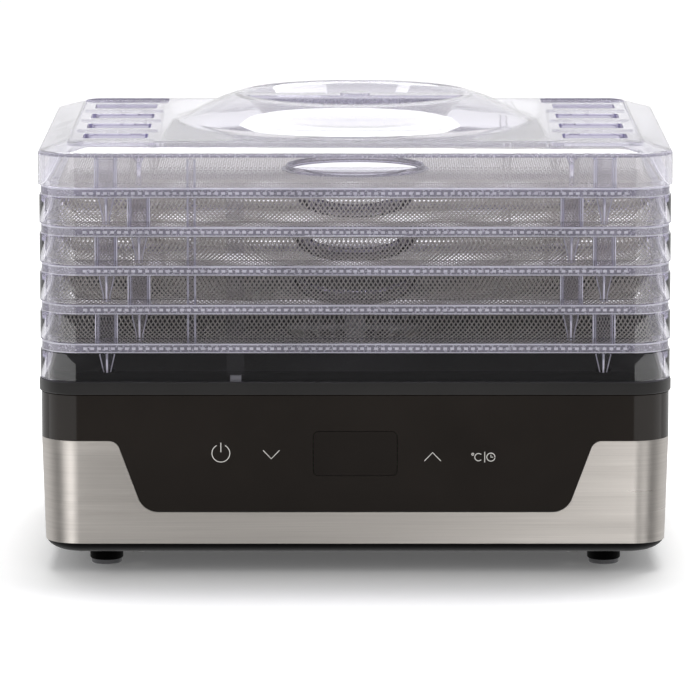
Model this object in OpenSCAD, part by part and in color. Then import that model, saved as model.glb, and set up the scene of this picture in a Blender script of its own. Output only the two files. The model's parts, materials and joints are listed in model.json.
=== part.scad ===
// Five-tray food dehydrator: fan-heated base, stacking clear trays and a vented lid.
// Millimetres, +X to the right, -Y towards the user, +Z up.
// The origin is under the centre of the base, on the surface that the feet stand on.

/* [Overall] */
// Width across the lid and the deck rim
width = 340; // [320:1:360]
// Depth across the lid and the deck rim
depth = 250; // [235:1:270]
// Plan radius of the outer corners
corner_r = 22; // [16:1:30]

/* [Base] */
// Height of the rubber feet
foot_h = 9; // [6:0.5:10]
// Diameter of the rubber feet
foot_d = 18; // [14:1:24]
// Height of the lower edge of the steel wrap
steel_z = 16; // [15:0.5:18]
// Height of the upper edge of the steel wrap
band_z = 72.3; // [68:0.1:76]
// Height where the satin deck rim starts
rim_z = 97.3; // [95:0.1:100]
// Height of the ledge that carries the lowest tray
ledge_z = 104.2; // [103:0.1:106]
// Height of the raised deck inside the lowest tray
deck_z = 108.8; // [108:0.1:112]
// Inward lean of the steel wrap from its top to its bottom
steel_lean = 1.8; // [0:0.1:2.5]
// Thickness of the steel sheet
steel_t = 0.8; // [0.5:0.1:1]

/* [Trays] */
// Height that each tray adds to the stack
tray_pitch = 20.9; // [20:0.1:22]
// Wall thickness of the clear mouldings
clear_t = 2; // [1.6:0.1:2.4]
// Diameter of the air hole in the middle of a tray
tray_hole_d = 74; // [60:1:80]
// Distance of the outer legs from the centre line
leg_outer_x = 133; // [128:1:136]
// Distance of the inner legs from the centre line
leg_inner_x = 115.5; // [110:0.5:118]

/* [Lid] */
// Height of the lid's flat top above its lower edge
lid_top_h = 23; // [20:0.1:24]
// Height of the grip's rim above the lid's flat top
grip_h = 15; // [12:0.5:17]
// Diameter of the foot of the domed grip
grip_foot_d = 198; // [180:1:206]
// Diameter of the grip's rim
grip_rim_d = 125; // [115:1:135]
// Width of the bar that the fingers hold
grip_bar_w = 14; // [10:1:18]

/* [Fan] */
// Bore of the air duct
duct_d = 104; // [100:1:108]
// Diameter of the impeller
impeller_d = 96; // [88:1:97]
// Number of impeller blades
blade_count = 7; // [5:1:9]
// Diameter of the motor shaft
shaft_d = 4; // [3:0.5:5]

/* [Hidden] */
$fn = 64;

// Running gap between parts that lift off each other
gap = 0.3;
// Overlap that keeps cuts clean
eps = 0.5;
// Thickness of the slices that a hull runs between
slice = 0.01;
hull_fn = 32;

// --- Base levels and walls ---
pan_floor_t = 2.5;
pan_lip_h = 8;
shell_t = 2.5;
deck_t = 2.5;
deck_lip_h = 6;
step_inset = 5.5;
half_w = width / 2;
half_d = depth / 2;
shell_w = width - 2;
shell_d = depth - 2;
cavity_w = shell_w - 2 * (steel_t + shell_t + steel_lean);
cavity_d = shell_d - 2 * (steel_t + shell_t + steel_lean);
cavity_r = corner_r - 4;
shell_r = corner_r - 1;
pan_floor_z = foot_h + pan_floor_t;
pan_w = shell_w - 2 * steel_lean;
pan_d = shell_d - 2 * steel_lean;
pan_inset = 17;
pan_inset_r = corner_r - 8;
pan_round = 6;
pan_round_r = corner_r - 4;
pan_round_h = 2;
foot_x = 135;
foot_y = 90;
foot_stem_d = 7;
foot_stem_head_d = 10;
foot_stem_head_h = 1.5;
foot_grip_d = foot_d - 1.6;
foot_grip_h = 2;
foot_dimple_d = 7;
foot_dimple_h = 1.5;
boss_d = 9;
boss_x = 118;
boss_y = 96;
boss_h = 22;
screw_d = 3.5;
screw_head_d = 6;
screw_head_h = 2;
pan_screw_l = 10;
small_head_d = 5;
small_head_h = 1.8;
board_screw_d = 2.4;
board_screw_l = 6;
duct_screw_d = 2.6;
duct_screw_l = 3.6;
intake_slot_w = 3.5;
intake_slots = 12;
intake_inner = [18, 32];
intake_outer = [37, 52];

// --- Front panel ---
notch_top_x = 127.9;
notch_low_x = 113.7;
notch_z = 33.4;
notch_top_r = 6;
notch_low_r = 11.4;
notch_reach_x = 145;
window_w = 44.8;
window_h = 24;
window_z = 65.4;
window_r = 3;
window_t = 1.4;
// How far back the front openings are cut, and how far they reach forward from there
front_cut_y = 12;
front_cut_t = 20;
board_y = -110;
board_t = 1.6;
board_half_w = 88;
board_low_z = 42;
board_top_z = 88;
board_post_x = 82;
board_post_z = 65;
board_post_w = 8;
board_hole_d = 2.8;
display_half_w = 20;
display_low_z = 55;
display_top_z = 76;
// Centres of the four touch keys, from left to right
touch_x = [-72, -45, 41.5, 68.7];
touch_z = 64.5;
touch_pad_d = 10;
touch_pad_t = 1;
touch_coil_d = 6;

// --- Air path ---
duct_t = 2;
duct_low_z = 48;
duct_top_z = deck_z - deck_t;
duct_flange_d = duct_d + 16;
duct_flange_t = 2;
duct_post_r = duct_d / 2 + 5;
duct_post_d = 9;
duct_post_lap = 4;
shield_gap = 6;
shield_t = 1.2;
shield_wall_t = 0.8;
outlet_d = 82;
outlet_wall_t = 1.5;
grille_z = 103;
grille_t = 2.5;
grille_edge_t = 2.9;
grille_rings = [12, 20, 28];
grille_bar_t = 2;
grille_bar_w = 2.4;
motor_d = 52;
motor_z = 24;
motor_h = 20;
motor_cap_d = motor_d - 16;
motor_cap_h = 3;
motor_coil_half_w = 22;
motor_coil_y = -34;
motor_coil_h = 16;
bracket_t = 1.5;
bracket_d = motor_d + 6;
bracket_arm_l = 60;
bracket_arm_w = 12;
bracket_post_r = 54;
bracket_post_d = 10;
bush_d = 12;
bush_h = 8;
bush_top_z = motor_z + motor_h + motor_cap_h;
bush_low_z = motor_z - 3;
rotor_d = 26;
rotor_h = 13;
rotor_gap = 0.5;
rotor_z = motor_z + 1;
shaft_gap = 0.05;
shaft_top_z = 71;
hub_d = 20;
impeller_z = 52;
impeller_h = 14;
blade_t = 1.6;
blade_chord = 18;
blade_pitch_a = 32;
nut_d = 9;
nut_h = 3.5;
heater_z = 78;
heater_h = 18;
heater_d = 92;
mica_t = 1;
mica_half_l = duct_d / 2 - 0.1;
mica_slot_h = 6;
wire_d = 1.4;
coil_turns = 4;
coil_inner_r = 16;
coil_step = (heater_d / 2 - 18) / (coil_turns - 1);
fuse_x = 24;
fuse_size = [12, 4, 4];
thermostat_x = -34;
thermostat_d = 11;
thermostat_t = 6;
sensor_size = [6, 3, 4];
sensor_y = -8;

// --- Electronics in the back of the base ---
power_x = -100;
power_y = 40;
power_w = 62;
power_d = 90;
power_z = 20;
power_top_z = power_z + board_t;
power_hole_d = 3;
power_post_d = 7;
power_post_bore_d = 2.6;
power_post_inset = 5;
relay_h = 16;
transformer_h = 20;
capacitor_d = 11;
capacitor_h = 18;
capacitor_pitch = 16;
heat_sink_h = 22;
terminal_h = 14;
ribbon_x = [-80, -66];
ribbon_t = 1;
ribbon_top_z = 48;
lead_t = 3;
mains_lead_y = 73;
mains_lead_pitch = 7;
heater_lead_y = 10;
heater_lead_pitch = 8;
gland_x = 100;
gland_z = 38;
gland_d = 14;
gland_flange_t = 4;
gland_bore_d = 7;

// --- Trays ---
tray_w = width - 1.2;
tray_d = depth - 1.2;
tray_r = corner_r - 0.6;
rim_w = width - 3;
rim_d = depth - 3;
rim_r = corner_r - 1.5;
rim_h = 5.4;
floor_t = 1.4;
// Top of the floor, below the rim
floor_z = floor_t - rim_h;
lip_h = 2.4;
lip_t = 1.2;
lip_inset = clear_t + 1.2;
rim_wall_t = lip_inset + lip_t;
leg_y = half_d - 11;
leg_top_w = 10.2;
leg_low_w = 4;
leg_stem_h = 3.1;
leg_web_t = 1.4;
socket_w = 12.2;
socket_h = 15;
socket_t = 1.9;
rib_x = 87.5;
rib_w = 4.8;
rib_d = 2;
// Pegs on the deck's ledge that the lowest tray drops behind
peg_x = [-67, -61];
peg_y = -half_d + 3.6;
peg_h = 3.2;
collar_w = 10;
collar_h = 2.5;
collar_t = 1.5;
leg_pocket_d = 9;
leg_pocket_t = 1.5;
tray_count = 5;

// --- Lid ---
lid_z = ledge_z + tray_count * tray_pitch + gap;
lid_plate_z = lid_z + lid_top_h;
lid_plate_r = corner_r - 8;
shoulder_h = 5;
shoulder_w = 17;
lid_leg_drop = 2.6;
vent_panel_x = 129.5;
vent_panel_w = 47;
vent_panel_d = 212;
vent_panel_r = 3;
vent_panel_depth = 1.2;
vent_slot_l = 35;
vent_slot_w = 22;
vent_slot_r = 2;
vent_pitch = 48.7;
vent_rim = 4;
grip_bowl_d = 88;
grip_bar_drop = 1.2;
grip_bar_inset = 8;
boss_top_d = 14;
boss_top_h = 1.2;

clear_colour = [0.86, 0.87, 0.93, 0.45];
black_gloss = [0.10, 0.09, 0.08];
black_satin = [0.20, 0.19, 0.19];

// ---------- Shared shapes ----------

module rounded_rect(w, d, r) {
    square([w - 2 * r, d], center = true);
    square([w, d - 2 * r], center = true);
    for (x = [-1, 1], y = [-1, 1])
        translate([x * (w / 2 - r), y * (d / 2 - r)])
            circle(r);
}

module slab(w, d, r, z0, z1) {
    translate([0, 0, z0])
        linear_extrude(z1 - z0)
            rounded_rect(w, d, r);
}

module frame(w, d, r, t, z0, z1) {
    difference() {
        slab(w, d, r, z0, z1);
        slab(w - 2 * t, d - 2 * t, r - t, z0 - eps, z1 + eps);
    }
}

module tube(d, bore, z0, z1) {
    translate([0, 0, z0])
        difference() {
            cylinder(d = d, h = z1 - z0);
            translate([0, 0, -eps])
                cylinder(d = bore, h = z1 - z0 + 2 * eps);
        }
}

module disc(d, z0, z1) {
    translate([0, 0, z0])
        cylinder(d = d, h = z1 - z0);
}

module block(x, y, z) {
    translate([x[0], y[0], z[0]])
        cube([x[1] - x[0], y[1] - y[0], z[1] - z[0]]);
}

module four(x, y) {
    for (sx = [-1, 1], sy = [-1, 1])
        translate([sx * x, sy * y, 0])
            children();
}

// Pan-head screw standing on its head at z = 0, shank up
module screw(head_d, head_h, shank_d, length) {
    difference() {
        cylinder(d = head_d, h = head_h);
        for (a = [0, 90])
            rotate(a)
                translate([-head_d * 0.3, -0.4, -eps])
                    cube([head_d * 0.6, 0.8, eps + head_h / 2]);
    }
    translate([0, 0, head_h])
        cylinder(d = shank_d, h = length);
}

function unit(v) = v / norm(v);

// Points that round the corner p between the directions to a and b
function fillet(a, p, b, r, n = 8) =
    let (u = unit(a - p),
         v = unit(b - p),
         half = acos(u * v) / 2,
         c = p + unit(u + v) * r / sin(half),
         t1 = p + u * r / tan(half),
         t2 = p + v * r / tan(half))
    [for (i = [0:n]) c + unit(t1 + (t2 - t1) * i / n - c) * r];

// ---------- Base casing ----------

// Solid inside the leaning side walls, less an inset
module leaning_solid(inset) {
    hull() {
        slab(shell_w - 2 * (steel_lean + inset), shell_d - 2 * (steel_lean + inset),
             shell_r - inset, steel_z, steel_z + slice, $fn = hull_fn);
        slab(shell_w - 2 * inset, shell_d - 2 * inset,
             shell_r - inset, band_z - slice, band_z, $fn = hull_fn);
    }
}

// Front opening of the steel wrap, as a prism through the front wall
module notch_prism() {
    top_out = [notch_reach_x, band_z];
    top = [notch_top_x, band_z];
    low = [notch_low_x, notch_z];
    low_in = [0, notch_z];
    right = concat(fillet(low_in, low, top, notch_low_r), fillet(low, top, top_out, notch_top_r));
    n = len(right);
    left = [for (i = [1:n]) [-right[n - i].x, right[n - i].y]];
    outline = concat(right, [top_out, top_out + [0, 1], [-notch_reach_x, band_z + 1],
                             [-notch_reach_x, band_z]], left);
    translate([0, -half_d + front_cut_y, 0])
        rotate([90, 0, 0])
            linear_extrude(front_cut_t)
                polygon(outline);
}

module gland_hole(d) {
    translate([gland_x, half_d + 5, gland_z])
        rotate([90, 0, 0])
            cylinder(d = d, h = 30);
}

module steel_wrap() {
    color("silver")
        difference() {
            leaning_solid(0);
            leaning_solid(steel_t);
            notch_prism();
            gland_hole(gland_d);
        }
}

module window_prism(w, h, r) {
    translate([0, -half_d + front_cut_y, window_z])
        rotate([90, 0, 0])
            linear_extrude(front_cut_t)
                rounded_rect(w, h, r);
}

module body_shell() {
    color(black_gloss)
        difference() {
            union() {
                leaning_solid(steel_t);
                intersection() {
                    leaning_solid(0);
                    notch_prism();
                }
                slab(shell_w, shell_d, shell_r, band_z, rim_z);
            }
            slab(cavity_w, cavity_d, cavity_r, steel_z - eps, rim_z + eps);
            window_prism(window_w, window_h, window_r);
            gland_hole(gland_d);
        }
}

module display_window() {
    color([0.05, 0.05, 0.06])
        intersection() {
            union() {
                leaning_solid(0);
                slab(shell_w, shell_d, shell_r, band_z, rim_z);
            }
            window_prism(window_w, window_h, window_r);
            block([-half_w, half_w], [-half_d, -half_d + 1 + window_t], [steel_z, rim_z]);
        }
}

module bottom_pan() {
    color(black_satin)
        difference() {
            union() {
                hull() {
                    slab(pan_w, pan_d, shell_r, steel_z - slice, steel_z, $fn = hull_fn);
                    slab(pan_w - 2 * pan_round, pan_d - 2 * pan_round, pan_round_r,
                         foot_h + pan_round_h, foot_h + pan_round_h + slice, $fn = hull_fn);
                    slab(pan_w - 2 * pan_inset, pan_d - 2 * pan_inset, pan_inset_r,
                         foot_h, foot_h + slice, $fn = hull_fn);
                }
                slab(cavity_w, cavity_d, cavity_r, steel_z - 1, steel_z + pan_lip_h);
            }
            slab(cavity_w - 2 * shell_t, cavity_d - 2 * shell_t, cavity_r - shell_t,
                 steel_z - 1, steel_z + pan_lip_h + eps);
            slab(pan_w - 2 * pan_inset, pan_d - 2 * pan_inset, pan_inset_r,
                 pan_floor_z, steel_z);
            four(foot_x, foot_y)
                disc(foot_stem_d, foot_h - eps, steel_z);
            four(boss_x, boss_y)
                disc(screw_d, foot_h - eps, steel_z);
            intake_slots_cut();
        }
    color(black_satin)
        four(boss_x, boss_y)
            tube(boss_d, screw_d, pan_floor_z, boss_h);
}

// Radial air intake slots below the fan motor
module intake_slots_cut() {
    for (i = [0:intake_slots - 1])
        rotate((i + 0.5) * 360 / intake_slots)
            for (r = [intake_inner, intake_outer])
                block(r, [-intake_slot_w / 2, intake_slot_w / 2], [foot_h - eps, pan_floor_z + eps]);
}

// Rubber foot: grip ring on the floor, body, and a stem pressed up into the pan
module foot() {
    color([0.16, 0.16, 0.16])
        difference() {
            union() {
                disc(foot_d, foot_grip_h, foot_h);
                disc(foot_grip_d, 0, foot_grip_h);
                disc(foot_stem_d, foot_h, pan_floor_z);
                disc(foot_stem_head_d, pan_floor_z, pan_floor_z + foot_stem_head_h);
            }
            disc(foot_dimple_d, -eps, foot_dimple_h);
        }
}

module foot_front_left() { translate([-foot_x, -foot_y, 0]) foot(); }
module foot_front_right() { translate([foot_x, -foot_y, 0]) foot(); }
module foot_rear_left() { translate([-foot_x, foot_y, 0]) foot(); }
module foot_rear_right() { translate([foot_x, foot_y, 0]) foot(); }

// Positions of one tray's legs: outer pair on the front side, inner pair on the rear side
module leg_places(turned) {
    rotate(turned ? 180 : 0) {
        for (s = [-1, 1]) {
            translate([s * leg_outer_x, -leg_y, 0])
                children();
            translate([s * leg_inner_x, leg_y, 0])
                children();
        }
    }
}

module top_deck() {
    step_w = width - 2 * step_inset;
    step_d = depth - 2 * step_inset;
    color(black_satin)
        difference() {
            union() {
                slab(width, depth, corner_r, rim_z, ledge_z);
                slab(step_w, step_d, corner_r - step_inset, ledge_z - 1, deck_z);
                slab(cavity_w, cavity_d, cavity_r, rim_z - deck_lip_h, rim_z);
                for (a = [0, 180])
                    rotate(a)
                        block(peg_x, [peg_y, -step_d / 2 + 1], [ledge_z - 1, ledge_z + peg_h]);
            }
            difference() {
                slab(cavity_w - 2 * deck_t, cavity_d - 2 * deck_t, cavity_r - deck_t,
                     rim_z - deck_lip_h - eps, deck_z - deck_t);
                leg_places(false)
                    disc(leg_pocket_d + 2 * leg_pocket_t, ledge_z - leg_pocket_t, deck_z);
                tube(outlet_d + 2 * outlet_wall_t, outlet_d, grille_z - 1, deck_z);
            }
            leg_places(false)
                disc(leg_pocket_d, ledge_z, deck_z + eps);
            disc(outlet_d, grille_z - 2, deck_z + eps);
            duct_screw_places()
                disc(duct_screw_d, duct_top_z - eps, duct_top_z + duct_screw_l - duct_flange_t);
        }
}

// ---------- Air path ----------

module outlet_grille() {
    edge_d = outlet_d - 0.2;
    color([0.16, 0.16, 0.16]) {
        tube(edge_d, edge_d - 2 * grille_edge_t, grille_z, grille_z + grille_t);
        for (r = grille_rings)
            tube(2 * r + grille_bar_w / 2, 2 * r - grille_bar_w / 2, grille_z, grille_z + grille_t);
        disc(grille_rings[0], grille_z, grille_z + grille_t);
        for (a = [0:60:300])
            rotate(a)
                block([grille_rings[0] / 2 - 1, edge_d / 2 - 1], [-grille_bar_t / 2, grille_bar_t / 2],
                      [grille_z, grille_z + grille_t]);
    }
}

module air_duct() {
    color([0.75, 0.74, 0.72])
        difference() {
            union() {
                tube(duct_d + 2 * duct_t, duct_d, duct_low_z, duct_top_z);
                tube(duct_flange_d, duct_d, duct_top_z - duct_flange_t, duct_top_z);
                for (a = [0:90:270])
                    rotate(a)
                        translate([duct_post_r, 0, 0])
                            disc(duct_post_d, pan_floor_z, duct_low_z + duct_post_lap);
            }
            duct_screw_places()
                disc(duct_screw_d, duct_top_z - duct_flange_t - eps, duct_top_z + eps);
            disc(duct_d, pan_floor_z - eps, duct_top_z + eps);
        }
}

module duct_screw_places() {
    for (a = [45:90:315])
        rotate(a)
            translate([duct_post_r, 0, 0])
                children();
}

module duct_screws() {
    color("silver")
        duct_screw_places()
            translate([0, 0, duct_top_z - duct_flange_t - small_head_h])
                screw(small_head_d, small_head_h, duct_screw_d, duct_screw_l);
}

// Sheet ring between the hot duct and the plastic deck
module heat_shield() {
    bore = outlet_d + shield_gap;
    color([0.8, 0.8, 0.8]) {
        tube(duct_d, bore, duct_top_z - shield_t, duct_top_z);
        tube(bore + 2 * shield_wall_t, bore, grille_z - shield_gap, duct_top_z - shield_t);
    }
}

module bracket_post_places() {
    for (a = [45:90:315])
        rotate(a)
            translate([bracket_post_r, 0, 0])
                children();
}

module motor_bracket() {
    color([0.7, 0.7, 0.7])
        difference() {
            union() {
                disc(bracket_d, motor_z - bracket_t, motor_z);
                for (a = [45, 135])
                    rotate(a)
                        block([-bracket_arm_l, bracket_arm_l], [-bracket_arm_w / 2, bracket_arm_w / 2],
                              [motor_z - bracket_t, motor_z]);
                bracket_post_places()
                    disc(bracket_post_d, pan_floor_z, motor_z);
            }
            disc(bush_d, motor_z - bracket_t - eps, motor_z + eps);
            bracket_post_places()
                disc(screw_d, pan_floor_z - eps, motor_z + eps);
        }
}

// Shaded-pole motor: laminated stack, coil bobbin and end caps round the bush
module fan_motor() {
    color([0.55, 0.55, 0.58])
        difference() {
            union() {
                disc(motor_d, motor_z, motor_z + motor_h);
                disc(motor_cap_d, motor_z + motor_h, motor_z + motor_h + motor_cap_h);
                block([-motor_coil_half_w, motor_coil_half_w], [motor_coil_y, 0],
                      [motor_z, motor_z + motor_coil_h]);
            }
            disc(rotor_d + 2 * rotor_gap, motor_z - eps, bush_top_z - bush_h);
            disc(bush_d, motor_z - eps, bush_top_z + eps);
        }
}

// Upper bush in the motor and lower bush in the bracket
module motor_bush() {
    color([0.72, 0.5, 0.25]) {
        tube(bush_d, shaft_d + 2 * shaft_gap, bush_top_z - bush_h, bush_top_z);
        tube(bush_d, shaft_d + 2 * shaft_gap, bush_low_z, motor_z);
    }
}

module motor_rotor() {
    color([0.5, 0.5, 0.52])
        tube(rotor_d, shaft_d, rotor_z, rotor_z + rotor_h);
}

module motor_shaft() {
    color("silver")
        disc(shaft_d, bush_low_z, shaft_top_z);
}

module fan_impeller() {
    color([0.88, 0.88, 0.86])
        difference() {
            union() {
                disc(hub_d, impeller_z, impeller_z + impeller_h);
                for (i = [0:blade_count - 1])
                    rotate(i * 360 / blade_count)
                        translate([0, 0, impeller_z + impeller_h / 2])
                            rotate([blade_pitch_a, 0, 0])
                                block([hub_d / 2 - 1.5, impeller_d / 2 - 1],
                                      [-blade_chord / 2, blade_chord / 2],
                                      [-blade_t / 2, blade_t / 2]);
            }
            disc(shaft_d, impeller_z - eps, impeller_z + impeller_h + eps);
        }
}

module impeller_nut() {
    color([0.72, 0.6, 0.3])
        difference() {
            translate([0, 0, impeller_z + impeller_h])
                cylinder(d = nut_d, h = nut_h, $fn = 6);
            disc(shaft_d, impeller_z + impeller_h - eps, impeller_z + impeller_h + nut_h + eps);
        }
}

// Crossed mica plates that carry the heating wire
module heater_frame() {
    color([0.82, 0.78, 0.66])
        difference() {
            for (a = [0, 90])
                rotate(a)
                    block([-mica_half_l, mica_half_l], [-mica_t / 2, mica_t / 2],
                          [heater_z, heater_z + heater_h]);
            for (k = [0:coil_turns - 1], a = [0:90:270])
                rotate(a)
                    block([coil_r(k) - wire_d / 2, coil_r(k) + wire_d / 2], [-mica_t, mica_t],
                          [heater_z + heater_h - mica_slot_h, heater_z + heater_h + eps]);
        }
}

function coil_r(k) = coil_inner_r + k * coil_step;

// Heating wire: four rings laid in the slots of the mica cross
module heater_coil() {
    color([0.6, 0.35, 0.25])
        for (k = [0:coil_turns - 1])
            translate([0, 0, heater_z + heater_h - mica_slot_h + wire_d / 2])
                rotate_extrude()
                    translate([coil_r(k), 0])
                        circle(d = wire_d, $fn = 16);
}

module thermal_fuse() {
    color([0.85, 0.85, 0.8])
        translate([fuse_x, mica_t / 2, heater_z + 5])
            cube(fuse_size);
}

module thermostat() {
    color([0.3, 0.25, 0.2])
        translate([thermostat_x, mica_t / 2, heater_z + thermostat_d / 2 + 0.4])
            rotate([-90, 0, 0])
                cylinder(d = thermostat_d, h = thermostat_t);
}

// Sensor bead clipped under the grille's edge ring
module temperature_sensor() {
    color([0.9, 0.9, 0.9])
        translate([outlet_d / 2 - grille_edge_t - 0.1 - sensor_size.x, sensor_y,
                   grille_z - sensor_size.z])
            cube(sensor_size);
}

// ---------- Electronics ----------

module control_board() {
    color([0.10, 0.35, 0.20])
        difference() {
            block([-board_half_w, board_half_w], [board_y, board_y + board_t],
                  [board_low_z, board_top_z]);
            board_screw_places()
                cylinder(d = board_hole_d, h = 12, center = true);
        }
    color(black_satin)
        for (s = [-1, 1])
            translate([s * board_post_x, 0, board_post_z])
                difference() {
                    block([-board_post_w / 2, board_post_w / 2], [-cavity_d / 2, board_y],
                          [-board_post_w / 2, board_post_w / 2]);
                    translate([0, board_y, 0])
                        rotate([90, 0, 0])
                            cylinder(d = board_screw_d, h = 20, center = true);
                }
}

module board_screw_places() {
    for (s = [-1, 1])
        translate([s * board_post_x, board_y + board_t / 2, board_post_z])
            rotate([90, 0, 0])
                children();
}

module display_module() {
    color([0.92, 0.92, 0.9])
        block([-display_half_w, display_half_w], [-half_d + 1 + window_t + gap, board_y],
              [display_low_z, display_top_z]);
}

module touch_springs() {
    front_y = -cavity_d / 2;
    color([0.8, 0.7, 0.4])
        for (x = touch_x)
            translate([x, front_y, touch_z])
                rotate([-90, 0, 0]) {
                    cylinder(d = touch_pad_d, h = touch_pad_t);
                    cylinder(d = touch_coil_d, h = board_y - front_y);
                }
}

module board_screws() {
    color("silver")
        board_screw_places()
            translate([0, 0, -board_t / 2 - small_head_h])
                screw(small_head_d, small_head_h, board_screw_d, board_screw_l);
}

module power_board() {
    color([0.55, 0.42, 0.2])
        difference() {
            block([power_x - power_w / 2, power_x + power_w / 2],
                  [power_y - power_d / 2, power_y + power_d / 2], [power_z, power_top_z]);
            power_post_places()
                disc(power_hole_d, power_z - eps, power_top_z + eps);
        }
    color(black_satin)
        power_post_places()
            tube(power_post_d, power_post_bore_d, pan_floor_z, power_z);
}

module power_post_places() {
    translate([power_x, power_y, 0])
        four(power_w / 2 - power_post_inset, power_d / 2 - power_post_inset)
            children();
}

// Relay, transformer, capacitors and heat sink, standing on the board
module board_components() {
    translate([power_x, power_y, power_top_z]) {
        color([0.15, 0.3, 0.6])
            block([-24, -8], [-30, -10], [0, relay_h]);
        color([0.85, 0.75, 0.2])
            block([2, 26], [-34, -10], [0, transformer_h]);
        color([0.2, 0.2, 0.25])
            for (k = [0:2])
                translate([-18 + k * capacitor_pitch, 8, 0])
                    disc(capacitor_d, 0, capacitor_h);
        color([0.1, 0.1, 0.1])
            block([-26, 8], [24, 30], [0, heat_sink_h]);
    }
}

module terminal_block() {
    color([0.9, 0.9, 0.85])
        block([78, 108], [70, 86], [pan_floor_z, pan_floor_z + terminal_h]);
}

// Flat cable from the front board down and back to the power board
module ribbon_cable() {
    low = steel_z - 1;
    front_y = board_y + board_t;
    back_y = power_y - power_d / 2;
    color([0.7, 0.7, 0.7]) {
        block(ribbon_x, [front_y, front_y + ribbon_t], [low, ribbon_top_z]);
        block(ribbon_x, [front_y + ribbon_t, back_y - ribbon_t], [low, low + ribbon_t]);
        block(ribbon_x, [back_y - ribbon_t, back_y], [low, power_top_z]);
    }
}

// Sleeved pair from the terminal block to the power board
module mains_leads() {
    low = pan_floor_z + 2;
    color([0.3, 0.3, 0.35])
        for (k = [0, 1])
            translate([0, mains_lead_y + k * mains_lead_pitch, 0])
                block([power_x + power_w / 2 + eps, 78], [0, lead_t], [low, low + lead_t]);
}

// Pair of leads from the power board up along the duct to the heater
module heater_leads() {
    rise_x = -duct_d / 2 - duct_t - 2;
    color([0.75, 0.1, 0.1])
        for (k = [0, 1])
            translate([0, heater_lead_y + k * heater_lead_pitch, power_top_z]) {
                block([rise_x - lead_t, rise_x], [0, lead_t], [0, heater_z - power_top_z]);
                block([power_x + power_w / 2 - 4, rise_x - lead_t], [0, lead_t], [0, lead_t]);
            }
}

// Rubber gland where the mains cord would leave the back of the base
module cord_gland() {
    translate([gland_x, 0, gland_z])
        rotate([-90, 0, 0])
            color([0.12, 0.12, 0.12])
                difference() {
                    union() {
                        disc(gland_d + 4, cavity_d / 2 - gland_flange_t, cavity_d / 2);
                        disc(gland_d, cavity_d / 2, half_d - 0.2);
                    }
                    disc(gland_bore_d, cavity_d / 2 - gland_flange_t - eps, half_d + eps);
                }
}

module pan_screws() {
    color("silver")
        four(boss_x, boss_y)
            translate([0, 0, foot_h - screw_head_h])
                screw(screw_head_d, screw_head_h, screw_d, pan_screw_l);
}

module motor_screws() {
    color("silver")
        bracket_post_places()
            translate([0, 0, motor_z + screw_head_h])
                mirror([0, 0, 1])
                    screw(screw_head_d, screw_head_h, screw_d, motor_z - pan_floor_z);
}

// ---------- Clear trays ----------

// Cross-shaped leg that tapers to a short stem, hanging from z = 0 to z = -length
module leg(length) {
    for (a = [0, 90])
        rotate(a)
            rotate([90, 0, 0])
                translate([0, 0, -leg_web_t / 2])
                    linear_extrude(leg_web_t)
                        polygon([[-leg_top_w / 2, 0], [leg_top_w / 2, 0],
                                 [leg_low_w / 2, leg_stem_h - length], [leg_low_w / 2, -length],
                                 [-leg_low_w / 2, -length], [-leg_low_w / 2, leg_stem_h - length]]);
}

// Square tube that stands on the floor of a tray
module socket() {
    outer = [-socket_w / 2, socket_w / 2];
    bore = [socket_t - socket_w / 2, socket_w / 2 - socket_t];
    difference() {
        block(outer, outer, [floor_z, socket_h]);
        block(bore, bore, [floor_z - eps, socket_h + eps]);
    }
}

// One tray with its rim top at z = 0
module tray(turned) {
    skirt_low = gap - tray_pitch;
    color(clear_colour) {
        frame(tray_w, tray_d, tray_r, clear_t, skirt_low, -rim_h);
        frame(rim_w, rim_d, rim_r, rim_wall_t, -rim_h, 0);
        frame(rim_w - 2 * lip_inset, rim_d - 2 * lip_inset, rim_r - lip_inset, lip_t, 0, lip_h);
        difference() {
            slab(rim_w - 2 * rim_wall_t + 1, rim_d - 2 * rim_wall_t + 1, rim_r - rim_wall_t,
                 -rim_h, floor_z);
            disc(tray_hole_d, -rim_h - eps, eps);
        }
        rotate_extrude()
            polygon([[tray_hole_d / 2, -rim_h], [tray_hole_d / 2 + collar_t, -rim_h],
                     [tray_hole_d / 2 + collar_w, floor_z],
                     [tray_hole_d / 2 + collar_t, floor_z + collar_h],
                     [tray_hole_d / 2, floor_z + collar_h]]);
        leg_places(turned) {
            translate([0, 0, -rim_h])
                leg(tray_pitch - rim_h - gap);
            socket();
        }
        for (a = [0, 180])
            rotate(a)
                block([-rib_x - rib_w / 2, -rib_x + rib_w / 2],
                      [-rim_d / 2 + rim_wall_t - eps, -rim_d / 2 + rim_wall_t + rib_d],
                      [-rim_h, socket_h]);
    }
}

module stacked_tray(number) {
    translate([0, 0, ledge_z + (tray_count + 1 - number) * tray_pitch])
        tray(number % 2 == 0);
}

module tray_1() { stacked_tray(1); }
module tray_2() { stacked_tray(2); }
module tray_3() { stacked_tray(3); }
module tray_4() { stacked_tray(4); }
module tray_5() { stacked_tray(5); }

// ---------- Lid ----------

module lid_solid(inset, low) {
    hull() {
        slab(width - 2 * inset, depth - 2 * inset, corner_r - inset,
             low, lid_plate_z - shoulder_h, $fn = hull_fn);
        slab(width - 2 * shoulder_w, depth - 2 * shoulder_w, lid_plate_r,
             lid_plate_z - inset - slice, lid_plate_z - inset, $fn = hull_fn);
    }
}

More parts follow.
